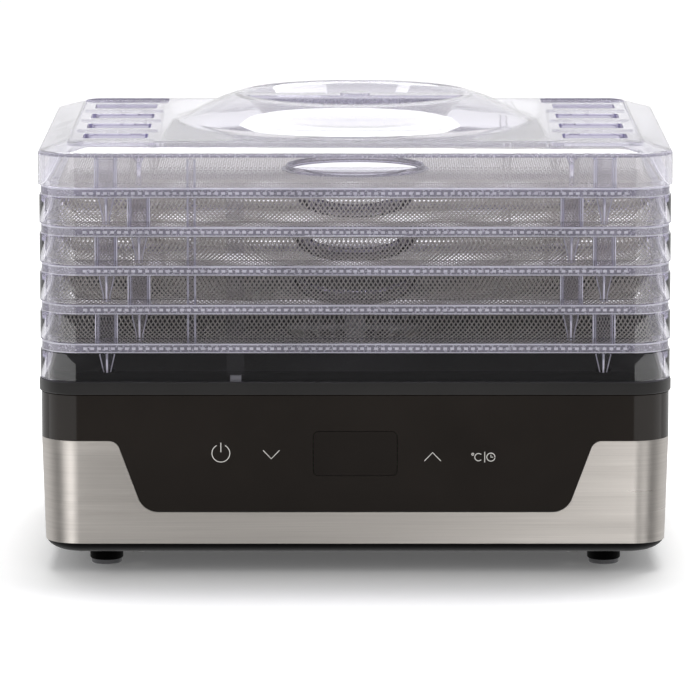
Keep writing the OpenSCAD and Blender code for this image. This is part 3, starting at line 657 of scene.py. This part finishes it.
def make_deck():
    """Satin deck: the rim that carries the lowest tray and the raised floor inside it."""
    low, top = SHELL_HIGH.z, DECK_HIGH.z
    step = 5.5 * MM
    profile = [
        (1.2 * MM, low), (0.3 * MM, low + 0.15 * MM), (0, low + 0.6 * MM), (0, LEDGE_Z - 1.2 * MM),
        (0.35 * MM, LEDGE_Z - 0.35 * MM), (1.2 * MM, LEDGE_Z), (step, LEDGE_Z),
        (step + 0.4 * MM, top - 1.6 * MM), (step + 0.9 * MM, top - 0.5 * MM), (step + 2 * MM, top),
        (40 * MM, top), (40 * MM, top - 2.5 * MM), (9 * MM, top - 2.5 * MM), (8 * MM, low),
    ]
    half_w, half_d = DECK_HIGH.x, DECK_HIGH.y
    loops = [rounded_loop(half_w - i, half_d - i, max(CORNER_R - i, 4 * MM), z) for i, z in profile]
    deck = solid("deck", (loops, True))
    join(deck, slab(half_w - 39.9 * MM, half_d - 39.9 * MM, 4 * MM, top - 2.5 * MM, top))
    pockets = [disc(4.5 * MM, LEDGE_Z, top + MM, centre, 32) for centre in leg_places()]
    cut(deck, *pockets)
    cut(deck, disc(OUTLET_R, top - 6 * MM, top + 2 * MM))
    lip = in_mm(((0, -7), (0, -0.4), (0.4, 0.0), (-1.5, 0.0), (-1.5, -7)))
    join(deck, turned([(OUTLET_R - r, top + z) for r, z in lip]))
    smooth(deck)
    place(deck, "base", "black_satin", "top_deck")
    # The raised floor gets the darker copy of the deck's plastic: painted shade where the trays above shade
    # it.
    deck.data.materials.append(deck_floor_shade_plastic)
    for face in deck.data.polygons:
        face.material_index = int(face.center.z > LEDGE_Z + 0.2 * MM)


def make_deck_pegs():
    """The two pegs on the ledge that keep the lowest tray in place."""
    near, far = 119.3 * MM, 121.4 * MM
    blocks = []
    for s in SIDES:
        x, (y0, y1) = s * PAD_X, sorted((-s * near, -s * far))
        blocks.append(block((x - 3 * MM, y0, LEDGE_Z), (x + 3 * MM, y1, LEDGE_Z + 3.2 * MM)))
    pegs = solid("deck_pegs", *blocks)
    place(pegs, "base", "black_satin", "top_deck")
    pegs.data.materials[0] = foot_pad_rubber


make_steel_wrap()
make_casing()
make_icons()
make_pan()
make_feet()
make_deck()
make_deck_pegs()


# ---------- Trays ----------

RIM_H = 5.4 * MM
RIM_WALL = 5.3 * MM
FLOOR_T = 1.4 * MM
FLOOR_Z = FLOOR_T - RIM_H
HOLE_R = 37 * MM
MESH_W = 2.5 * MM
MESH_D = 6 * MM
STRAND_W = 0.4 * MM
STRAND_H = 0.29 * MM
DASH_PITCH = 3.7 * MM
LEG_STEM_H = 3.1 * MM
SOCKET_HALF = 6.1 * MM
SOCKET_T = 1.9 * MM
RIB_X = -87.5 * MM
RIB_HALF = 2.4 * MM


def make_tray_moulding():
    """Skirt, rim, lip and leg tabs of one tray, with the rim top at z = 0."""
    low = SKIRT_LOW
    profile = in_mm((
        (0, low / MM + 0.25), (0, -5.9), (0.25, -5.5), (0.9, -5.3), (0.9, -0.7), (1.1, -0.2), (1.6, 0),
        (4.1, 0), (4.1, 2.1), (4.35, 2.4), (5.0, 2.4), (5.3, 2.1), (5.3, -4.0), (7.2, -4.0), (7.2, -5.4),
        (2.6, -5.4), (2.0, -6.0), (2.0, low / MM), (0.25, low / MM),
    ))
    tray = solid("tray_moulding", swept(profile, TRAY_HIGH.x, TRAY_HIGH.y, CORNER_R - 0.6 * MM))
    tabs = []
    for x, y in leg_places():
        inner, outer = math.copysign(LEG_Y - 7 * MM, y), math.copysign(LEG_Y + 4 * MM, y)
        y0, y1 = sorted((inner, outer))
        tabs.append(block((x - 7 * MM, y0, -RIM_H), (x + 7 * MM, y1, FLOOR_Z)))
    join(tray, *tabs)
    smooth(tray)
    return tray


def make_tray_collar():
    """Flared collar round the air hole."""
    collar = solid("tray_collar", turned(in_mm((
        (37, -5.3), (37, -2.2), (37.3, -1.9), (38.0, -1.9), (38.3, -2.2), (38.8, -3.7),
        (40.6, -4.2), (41, -4.5), (41, -5.1), (40.7, -5.4), (37.3, -5.4),
    ))))
    smooth(collar)
    return collar


def rim_sweep(profile):
    """A section of (inset, z) points in millimetres carried round a tray's rim."""
    return swept(in_mm(profile), TRAY_HIGH.x, TRAY_HIGH.y, CORNER_R - 0.6 * MM)


def make_tray_shade_band():
    """A violet-grey, half see-through strip inside the rim all round: painted shade for the dark look of
    the clear rim.
    """
    return solid("tray_shade_band", rim_sweep(((1.7, -4.6), (1.7, -1.1), (2.3, -1.1), (2.3, -4.6))))


def highlight_line(points, width):
    """A thin light-coloured bar along a moulded edge, through (x, y, z) points: a painted highlight."""
    h = width / 2
    corners = ((-h, -h), (h, -h), (h, h), (-h, h))
    return [[Vector((p[0] + x, p[1] + y, p[2])) for x, y in corners] for p in points], False


def rim_highlight_dashes():
    """A row of short light-coloured dashes inside the rim, along all four sides: painted highlights."""
    low, high, half, inset = -3.6 * MM, -2.2 * MM, 0.28 * DASH_PITCH, 1.3 * MM
    half_w, half_d, straight = TRAY_HIGH.x - inset, TRAY_HIGH.y - inset, CORNER_R
    dashes = []
    for s in SIDES:
        count = int((half_w - straight) / DASH_PITCH)
        for i in range(-count, count + 1):
            x, (y0, y1) = i * DASH_PITCH, sorted((s * half_d, s * (half_d - 0.3 * MM)))
            dashes.append(block((x - half, y0, low), (x + half, y1, high)))
        count = int((half_d - straight) / DASH_PITCH)
        for i in range(-count, count + 1):
            y, (x0, x1) = i * DASH_PITCH, sorted((s * half_w, s * (half_w - 0.3 * MM)))
            dashes.append(block((x0, y - half, low), (x1, y + half, high)))
    return dashes


def make_tray_highlight_lines():
    """Painted highlights: light-coloured lines in the rim, legs, sockets and ribs, where clear plastic
    would catch light.
    """
    low, bend, top = SKIRT_LOW + 0.3 * MM, SKIRT_LOW + LEG_STEM_H, -RIM_H
    upright = (FLOOR_Z, SOCKET_H - 0.2 * MM)
    lines = rim_highlight_dashes()
    # Painted highlights along the top and bottom of the rim.
    lines.append(rim_sweep(((1.2, -1.0), (1.2, -0.3), (1.7, -0.3), (1.7, -1.0))))
    lines.append(rim_sweep(((1.2, -5.2), (1.2, -4.7), (1.7, -4.7), (1.7, -5.2))))
    for x, y in leg_places():
        for s in SIDES:
            lines.append(highlight_line([(x + s * 1.75 * MM, y, low), (x + s * 1.75 * MM, y, bend),
                                    (x + s * 4.8 * MM, y, top)], 0.65 * MM))
            lines.append(highlight_line([(x, y + s * 1.6 * MM, low), (x, y + s * 1.6 * MM, bend),
                                    (x, y + s * 4.6 * MM, top)], 0.9 * MM))
        for reach in (SOCKET_HALF - 0.3 * MM, SOCKET_HALF - SOCKET_T + 0.3 * MM):
            lines += [highlight_line([(x + sx * reach, y + sy * reach, z) for z in upright], 0.55 * MM)
                      for sx in SIDES for sy in SIDES]
    rib_y = TRAY_HIGH.y - RIM_WALL - 1.5 * MM
    for s in SIDES:
        for side in SIDES:
            x = s * RIB_X + side * (RIB_HALF - 0.5 * MM)
            lines.append(highlight_line([(x, -s * rib_y, z) for z in upright], 1.1 * MM))
    return solid("tray_highlight_lines", *lines)


def tapered_leg(centre, top, low):
    """Tray leg: crossed fins that taper to a short stem."""
    web = 0.7 * MM
    return [star_loop(2 * MM, web, web, low, centre),
            star_loop(2 * MM, web, web, low + LEG_STEM_H, centre),
            star_loop(5.1 * MM, web, web, top, centre)], False


def stalked_leg(centre, top, low):
    """Lid leg: a straight stalk that flares under the shoulder."""
    return [star_loop(1.5 * MM, 0.8 * MM, 1.0 * MM, low, centre),
            star_loop(1.6 * MM, 0.8 * MM, 1.0 * MM, top - 5.5 * MM, centre),
            star_loop(4.5 * MM, 0.6 * MM, 1.2 * MM, top, centre)], False


def socket(centre, low, high):
    """Square tube that takes the leg of the tray above."""
    half, wall, r = SOCKET_HALF, SOCKET_T, 0.9 * MM
    section = ((half, r, low), (half, r, high), (half - wall, r / 2, high), (half - wall, r / 2, low))
    return [rounded_loop(h, h, c, z, 3, centre) for h, c, z in section], True


def make_tray_legs():
    """The four tapered legs of one tray."""
    low = SKIRT_LOW + 0.1 * MM
    legs = solid("tray_legs", *(tapered_leg(centre, -RIM_H, low) for centre in leg_places()))
    smooth(legs)
    return legs


def make_tray_fittings():
    """Leg sockets, side ribs and locating pads of one tray."""
    fittings = [socket(centre, FLOOR_Z + 0.02 * MM, SOCKET_H) for centre in leg_places()]
    rib = (RIB_X, RIB_HALF, TRAY_HIGH.y - RIM_WALL, 2 * MM, FLOOR_Z, SOCKET_H)
    pad = (PAD_X, 4.8 * MM, TRAY_HIGH.y - WALL_T, 0.6 * MM, SKIRT_LOW + 3.4 * MM, -6 * MM)
    for s in SIDES:
        for x, half, outer, deep, low, high in (rib, pad):
            y0, y1 = sorted((-s * (outer - 0.02 * MM), -s * (outer - deep)))
            fittings.append(block((s * x - half, y0, low + 0.02 * MM), (s * x + half, y1, high)))
    piece = solid("tray_fittings", *fittings)
    smooth(piece)
    return piece


def inside_floor(p, half_w, half_d, radius):
    """Whether a point is on the mesh: within the rounded rectangle and outside the round hole."""
    x, y = abs(p.x), abs(p.y)
    if x > half_w or y > half_d or p.length < HOLE_R + 2 * MM:
        return False
    corner = Vector((x - half_w + radius, y - half_d + radius))
    return min(corner) < 0 or corner.length < radius


def strand_spans(start, along, half_w, half_d, radius):
    """The stretches of a line that lie on the mesh."""
    reach, step = 1.1 * half_d / along.y, 0.4 * MM
    count = int(reach / step)
    marks = [i * step for i in range(-count, count + 1)]
    spans, begin = [], None
    for t in marks:
        on = inside_floor(start + along * t, half_w, half_d, radius)
        if on and begin is None:
            begin = t
        if not on and begin is not None:
            spans.append((start + along * begin, start + along * (t - step)))
            begin = None
    return [(a, b) for a, b in spans if (b - a).length > 2 * MM]


def strand(a, b, low, high):
    """A straight strand, slightly narrower on top."""
    along = (b - a).normalized()
    across = Vector((-along.y, along.x)) * STRAND_W / 2
    loops = []
    for z, share in ((low, 1), (high, 0.7)):
        side = across * share
        loops.append([Vector((p.x, p.y, z)) for p in (a - side, b - side, b + side, a + side)])
    return loops, False


def make_tray_floor():
    """Diamond mesh floor of crossing strands."""
    half_w, half_d, radius = TRAY_HIGH.x - RIM_WALL, TRAY_HIGH.y - RIM_WALL, CORNER_R - 0.6 * MM - RIM_WALL
    count = int((half_w + half_d * MESH_W / MESH_D) / MESH_W)
    strands = []
    for layer, slant in enumerate(SIDES):
        along = Vector((slant * MESH_W, MESH_D)).normalized()
        low = FLOOR_Z + (0.1 * layer - 0.7) * MM
        for k in range(-count, count + 1):
            for a, b in strand_spans(Vector((k * MESH_W, 0)), along, half_w, half_d, radius):
                strands.append(strand(a, b, low, low + STRAND_H))
    return solid("tray_mesh", *strands)


def make_trays():
    """Five alike trays, every second one turned round so that its legs miss the sockets below."""
    patterns = (
        (make_tray_moulding(), "moulding", MATERIALS["clear_plastic"]),
        (make_tray_collar(), "collar", collar_plastic),
        # The band pieces are painted shade.
        (make_tray_shade_band(), "band", shade_band_plastic),
        # The edges pieces are painted highlights.
        (make_tray_highlight_lines(), "edges", highlight_plastic),
        (make_tray_legs(), "legs", frosted_plastic),
        (make_tray_fittings(), "fittings", MATERIALS["clear_plastic"]),
        (make_tray_floor(), "mesh", mesh_plastic),
    )
    for pattern, name, material in patterns:
        pattern.data.materials.clear()
        pattern.data.materials.append(material)
        for k in TRAYS:
            piece = bpy.data.objects.new(f"tray_{k}_{name}", pattern.data)
            bpy.context.scene.collection.objects.link(piece)
            piece.location.z = RIM_Z[k]
            piece.rotation_euler.z = math.pi * (k % 2 == 0)
            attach(piece, f"tray_{k}")
            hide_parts(f"tray_{k}")
        bpy.data.objects.remove(pattern)


make_trays()


# ---------- Lid ----------

GRIP_H = 15 * MM
PLATE_Z = LID_HIGH.z - GRIP_H
SHOULDER_H = 5 * MM
SHOULDER_W = 17 * MM
VENT_X = 129.5 * MM
VENT_PITCH = 48.7 * MM
VENT_ROWS = (-1.5, -0.5, 0.5, 1.5)


def lid_face(bend_r, crest_r, first_loss, low):
    """Loops of one face of the lid's skin, from its lower edge to the flat top, at constant thickness."""
    slope = math.atan2(SHOULDER_H, SHOULDER_W)
    bend = Vector((2.5 * MM, PLATE_Z - SHOULDER_H - 1.87 * MM))
    crest = Vector((17.86 * MM, PLATE_Z - 6 * MM))
    path = [Vector((bend.x - bend_r, low))]
    for centre, radius, start, end in ((bend, bend_r, math.pi / 2, slope), (crest, crest_r, slope, 0)):
        angles = [start + (end - start) * i / 6 for i in range(7)]
        path += [centre + Vector((-math.sin(a), math.cos(a))) * radius for a in angles]
    loops = []
    for p in path:
        share = (p.x - path[0].x) / (path[-1].x - path[0].x)
        loss = first_loss + (8.5 * MM - first_loss) * share
        loops.append(rounded_loop(LID_HIGH.x - p.x, LID_HIGH.y - p.x, CORNER_R - loss, p.y))
    return loops


def make_lid_shell():
    """Walls, sloping shoulder and flat top as one thin closed shell."""
    outside = lid_face(2.5 * MM, 6 * MM, 0, LID_LOW.z)
    inside = lid_face(2.5 * MM - WALL_T, 6 * MM - WALL_T, WALL_T, LID_LOW.z)
    return solid("lid_moulding", (outside[::-1] + inside, False))


def grip_section():
    """Section of the domed grip with its sunken bowl, as (radius, height above the flat top)."""
    bowl = ((0.01, 0), (41, 0), (44, 0.25), (46.2, 1.1), (48.5, 3.0), (59.5, 13.2), (60.8, 14.3),
            (62.4, 14.95))
    dome = ((64.2, 14.85), (67, 14.1), (75.5, 11.2), (83, 7.6), (90, 3.9), (95, 1.5), (98.5, 0.3), (101, 0))
    under = ((101, -2), (97.5, -1.8), (94, -0.6), (89, 1.9), (82, 5.6), (74.5, 9.2), (66.3, 12.1),
             (63.4, 12.9), (62.2, 12.7), (61.2, 12.0), (50.0, 1.6), (47.6, -0.6), (44.5, -1.8), (41, -2),
             (0.01, -2))
    return [(r * MM, PLATE_Z + h * MM) for r, h in bowl + dome + under]


def make_lid():
    """Clear lid: the shell, its vent recesses and slots, and the domed grip with its bar."""
    lid = make_lid_shell()
    recess_z = PLATE_Z - 1.2 * MM
    places = [(s * VENT_X, 0) for s in SIDES]
    thick_low, thick_top = recess_z - 2.8 * MM, recess_z + 0.1 * MM
    join(lid, *(slab(24.5 * MM, 105.5 * MM, 3 * MM, thick_low, thick_top, p, 4) for p in places))
    cut(lid, *(slab(23.5 * MM, 104 * MM, 3 * MM, recess_z, PLATE_Z + MM, p, 4) for p in places))
    slots = [slab(17.5 * MM, 11 * MM, 2 * MM, recess_z - 8 * MM, recess_z + MM, (x, k * VENT_PITCH), 4)
             for x, _ in places for k in VENT_ROWS]
    cut(lid, *slots)
    rib_low, rib_top = recess_z - 0.1 * MM, recess_z + 0.9 * MM
    ribs = [block((x - 22 * MM, y - 0.6 * MM, rib_low), (x + 22 * MM, y + 0.6 * MM, rib_top))
            for x, _ in places for y in (k * VENT_PITCH for k in range(-2, 3))]
    join(lid, *ribs)
    cut(lid, disc(99.5 * MM, PLATE_Z - 6 * MM, PLATE_Z + 3 * MM))
    join(lid, turned(grip_section()))
    combine(lid, make_grip_bar(), "UNION")
    cut(lid, slab(43 * MM, 5 * MM, MM, PLATE_Z - 3 * MM, PLATE_Z + 0.5 * MM))
    boss = in_mm(((0.01, 13), (8.2, 13), (8.2, 14.3), (7.6, 14.9), (0.01, 14.9)))
    join(lid, turned([(r, PLATE_Z + h) for r, h in boss], steps=48))
    smooth(lid, 38)
    place(lid, "lid", "clear_plastic", "lid")
    lid.data.materials[0] = lid_plastic


def make_grip_bar():
    """Hollow bar across the bowl, its ends following the bowl's wall."""
    bar = solid("bar", slab(63 * MM, 7 * MM, 1.5 * MM, PLATE_Z - MM, PLATE_Z + 13.7 * MM))
    cut(bar, slab(62 * MM, 5 * MM, 1 * MM, PLATE_Z - 3 * MM, PLATE_Z + 11.9 * MM))
    bowl = ((0.01, -1.1), (44.6, -1.1), (47, 0.2), (49.4, 2.3), (60.2, 12.6), (61.3, 13.5), (61.6, 15),
            (0.01, 15))
    combine(bar, solid("tool", turned([(r * MM, PLATE_Z + h * MM) for r, h in bowl])), "INTERSECT")
    return bar


def make_lid_legs():
    """Stalked legs under the lid, which reach into the top tray's sockets."""
    pieces = []
    for centre in leg_places(True):
        depth_in = LID_HIGH.y - abs(centre[1])
        top = PLATE_Z - SHOULDER_H + (depth_in - 5 * MM) * SHOULDER_H / SHOULDER_W - WALL_T - 0.15 * MM
        pieces.append(stalked_leg(centre, top, LID_LOW.z + 0.3 * MM))
    legs = solid("lid_legs", *pieces)
    smooth(legs)
    place(legs, "lid", "clear_plastic", "lid")
    legs.data.materials[0] = frosted_plastic


def make_lid_shade_line():
    """A violet-grey strip in the bend between the lid's wall and its shoulder: a painted shade line where
    the clear bend looks dark.
    """
    bend_z = PLATE_Z - SHOULDER_H
    section = ((0.9 * MM, bend_z - 1.9 * MM), (0.9 * MM, bend_z - 0.9 * MM),
               (1.5 * MM, bend_z - 0.5 * MM), (1.5 * MM, bend_z - 1.9 * MM))
    edge = solid("lid_shade_line", swept(section, LID_HIGH.x, LID_HIGH.y, CORNER_R))
    place(edge, "lid", "clear_plastic", "lid")
    edge.data.materials[0] = shade_band_plastic


def make_grip_core():
    """A pale, partly see-through sheet inside each of the bar's two long walls."""
    low, high, low_half, high_half = PLATE_Z + 1.5 * MM, PLATE_Z + 11.5 * MM, 45.8 * MM, 57 * MM
    outline = ((-low_half, low), (low_half, low), (high_half, high), (-high_half, high))
    faces = (5.8 * MM, 6.2 * MM)
    core = solid("grip_core", *(
        ([[Vector((x, s * y, z)) for x, z in outline[::s]] for y in faces], False) for s in SIDES))
    place(core, "lid", "clear_plastic", "lid")
    core.data.materials[0] = grip_core_plastic


make_lid()
make_lid_shade_line()
make_grip_core()
make_lid_legs()


# ---------- Stage, camera and light ----------


def make_floor():
    """White table that glows: the glow is weakest round the dehydrator's footprint, a painted shadow there,
    and runs into white all round; reflections show the room instead.
    """
    half = 14.0
    mesh = bpy.data.meshes.new("floor")
    corners = [(-half, -half, 0), (half, -half, 0), (half, half, 0), (-half, half, 0)]
    mesh.from_pydata(corners, [], [(0, 1, 2, 3)])
    floor = bpy.data.objects.new("floor", mesh)
    bpy.context.scene.collection.objects.link(floor)
    material, tree, shader = new_material("floor_white", (0.9, 0.9, 0.9), 0.9, Specular_IOR_Level=0.0)
    shader.inputs["Emission Color"].default_value = (1, 1, 1, 1)
    where = tree.nodes.new("ShaderNodeTexCoord")
    source = where.outputs["Object"]
    footprint, nowhere = (DECK_HIGH.x - 40 * MM, DECK_HIGH.y, 0), (0, 0, 0)
    steps = (("ABSOLUTE", nowhere), ("SUBTRACT", footprint), ("MAXIMUM", nowhere), ("LENGTH", nowhere))
    for operation, value in steps:
        step = tree.nodes.new("ShaderNodeVectorMath")
        step.operation = operation
        step.inputs[1].default_value = value
        tree.links.new(source, step.inputs[0])
        source = step.outputs["Value" if operation == "LENGTH" else "Vector"]
    # Painted shadow: the glow rises from 0.1 at the footprint to 0.6 at 0.13 m out.
    glow = tree.nodes.new("ShaderNodeMapRange")
    glow.inputs["From Min"].default_value = 0
    glow.inputs["From Max"].default_value = 0.13
    glow.inputs["To Min"].default_value = 0.1
    glow.inputs["To Max"].default_value = 0.6
    tree.links.new(source, glow.inputs["Value"])
    tree.links.new(glow.outputs["Result"], shader.inputs["Emission Strength"])
    path = tree.nodes.new("ShaderNodeLightPath")
    unseen = tree.nodes.new("ShaderNodeBsdfTransparent")
    mirrored = tree.nodes.new("ShaderNodeMixShader")
    tree.links.new(path.outputs["Glossy Depth"], mirrored.inputs["Fac"])
    tree.links.new(shader.outputs["BSDF"], mirrored.inputs[1])
    tree.links.new(unseen.outputs["BSDF"], mirrored.inputs[2])
    tree.links.new(mirrored.outputs["Shader"], tree.nodes["Material Output"].inputs["Surface"])
    mesh.materials.append(material)


WORLD_SEEN = 1.0
WORLD_LIGHT = 0.48
DARK_FRONT = 0.17
BRIGHT_BACK = 0.88


def make_world():
    """White surroundings where seen, dimmer as light, with a room darker in front for reflections."""
    world = bpy.data.worlds.new("studio")
    bpy.context.scene.world = world
    world.use_nodes = True
    tree = world.node_tree
    path = tree.nodes.new("ShaderNodeLightPath")
    where = tree.nodes.new("ShaderNodeTexCoord")
    axes = tree.nodes.new("ShaderNodeSeparateXYZ")
    room = tree.nodes.new("ShaderNodeMapRange")
    room.inputs["From Min"].default_value = -0.35
    room.inputs["From Max"].default_value = 0.35
    room.inputs["To Min"].default_value = DARK_FRONT
    room.inputs["To Max"].default_value = BRIGHT_BACK
    gloss = tree.nodes.new("ShaderNodeMix")
    gloss.inputs["A"].default_value = WORLD_LIGHT
    tree.links.new(where.outputs["Generated"], axes.inputs["Vector"])
    tree.links.new(axes.outputs["Y"], room.inputs["Value"])
    tree.links.new(room.outputs["Result"], gloss.inputs["B"])
    seen = tree.nodes.new("ShaderNodeMath")
    seen.operation = "MAXIMUM"
    through = tree.nodes.new("ShaderNodeMix")
    through.inputs["B"].default_value = WORLD_SEEN
    unmirrored = tree.nodes.new("ShaderNodeMath")
    unmirrored.operation = "SUBTRACT"
    unmirrored.use_clamp = True
    tree.links.new(path.outputs["Glossy Depth"], gloss.inputs["Factor"])
    tree.links.new(path.outputs["Is Camera Ray"], seen.inputs[0])
    tree.links.new(path.outputs["Is Transmission Ray"], seen.inputs[1])
    tree.links.new(seen.outputs["Value"], unmirrored.inputs[0])
    tree.links.new(path.outputs["Glossy Depth"], unmirrored.inputs[1])
    tree.links.new(gloss.outputs["Result"], through.inputs["A"])
    tree.links.new(unmirrored.outputs["Value"], through.inputs["Factor"])
    tree.links.new(through.outputs["Result"], tree.nodes["Background"].inputs["Strength"])
    tree.nodes["Background"].inputs["Color"].default_value = (1, 1, 1, 1)


def make_camera():
    """Camera in front of the dehydrator, a little above it and looking slightly down."""
    camera = bpy.data.objects.new("camera", bpy.data.cameras.new("camera"))
    bpy.context.scene.collection.objects.link(camera)
    camera.location = (-2.8 * MM, LID_LOW.y - 2.895, 0.571)
    camera.rotation_euler = (math.radians(90 - 8.82), 0, 0)
    camera.data.sensor_width = 36
    camera.data.lens = 282.1
    camera.data.clip_end = 60
    bpy.context.scene.camera = camera


def make_lamp(name, location, target, size, power, only=()):
    """A soft rectangular lamp. Given only, it lights just those pieces."""
    lamp = bpy.data.objects.new(name, bpy.data.lights.new(name, "AREA"))
    bpy.context.scene.collection.objects.link(lamp)
    lamp.location = location
    lamp.rotation_euler = (Vector(target) - Vector(location)).to_track_quat("-Z", "Y").to_euler()
    lamp.data.shape = "RECTANGLE"
    lamp.data.size, lamp.data.size_y = size
    lamp.data.energy = power
    lamp.visible_camera = False
    lamp.visible_transmission = False
    if only:
        receivers = bpy.data.collections.new(name + "_lights")
        for piece in only:
            receivers.objects.link(bpy.data.objects[piece])
        lamp.light_linking.receiver_collection = receivers


make_floor()
make_world()
make_camera()
make_lamp("top_softbox", (0.1, 0.7, 1.6), (0, 0, 0.1), (1.6, 1.0), 31)
steel_pieces = ["steel_band"]
make_lamp("steel_right", (0.33, -1.3, 0.0), (0.1, 0, 0.05), (0.35, 0.9), 1.9, steel_pieces)
for end, s in (("left", -1), ("right", 1)):
    make_lamp(f"steel_far_{end}", (s * 1.0, -1.0, 0.05), (0, 0, 0.05), (0.5, 0.9), 1.5, steel_pieces)
make_lamp("steel_left", (-0.64, -1.18, 0.05), (-0.1, 0, 0.05), (0.45, 0.9), 2.4, steel_pieces)
clear_pieces = [f"tray_{k}_moulding" for k in TRAYS] + ["lid_moulding"]
for end, s in (("left", -1), ("right", 1)):
    for name, power, lit in (("clear", 27, clear_pieces), ("casing", 9, ["casing"])):
        make_lamp(f"{name}_{end}", (s * 0.9, -1.1, -0.1), (0, -0.89, -0.1), (2.6, 1.3), power, lit)
scene = bpy.context.scene
scene.view_settings.view_transform = "Standard"
scene.cycles.max_bounces = 28
scene.cycles.transmission_bounces = 28
scene.cycles.glossy_bounces = 12
scene.cycles.transparent_max_bounces = 48
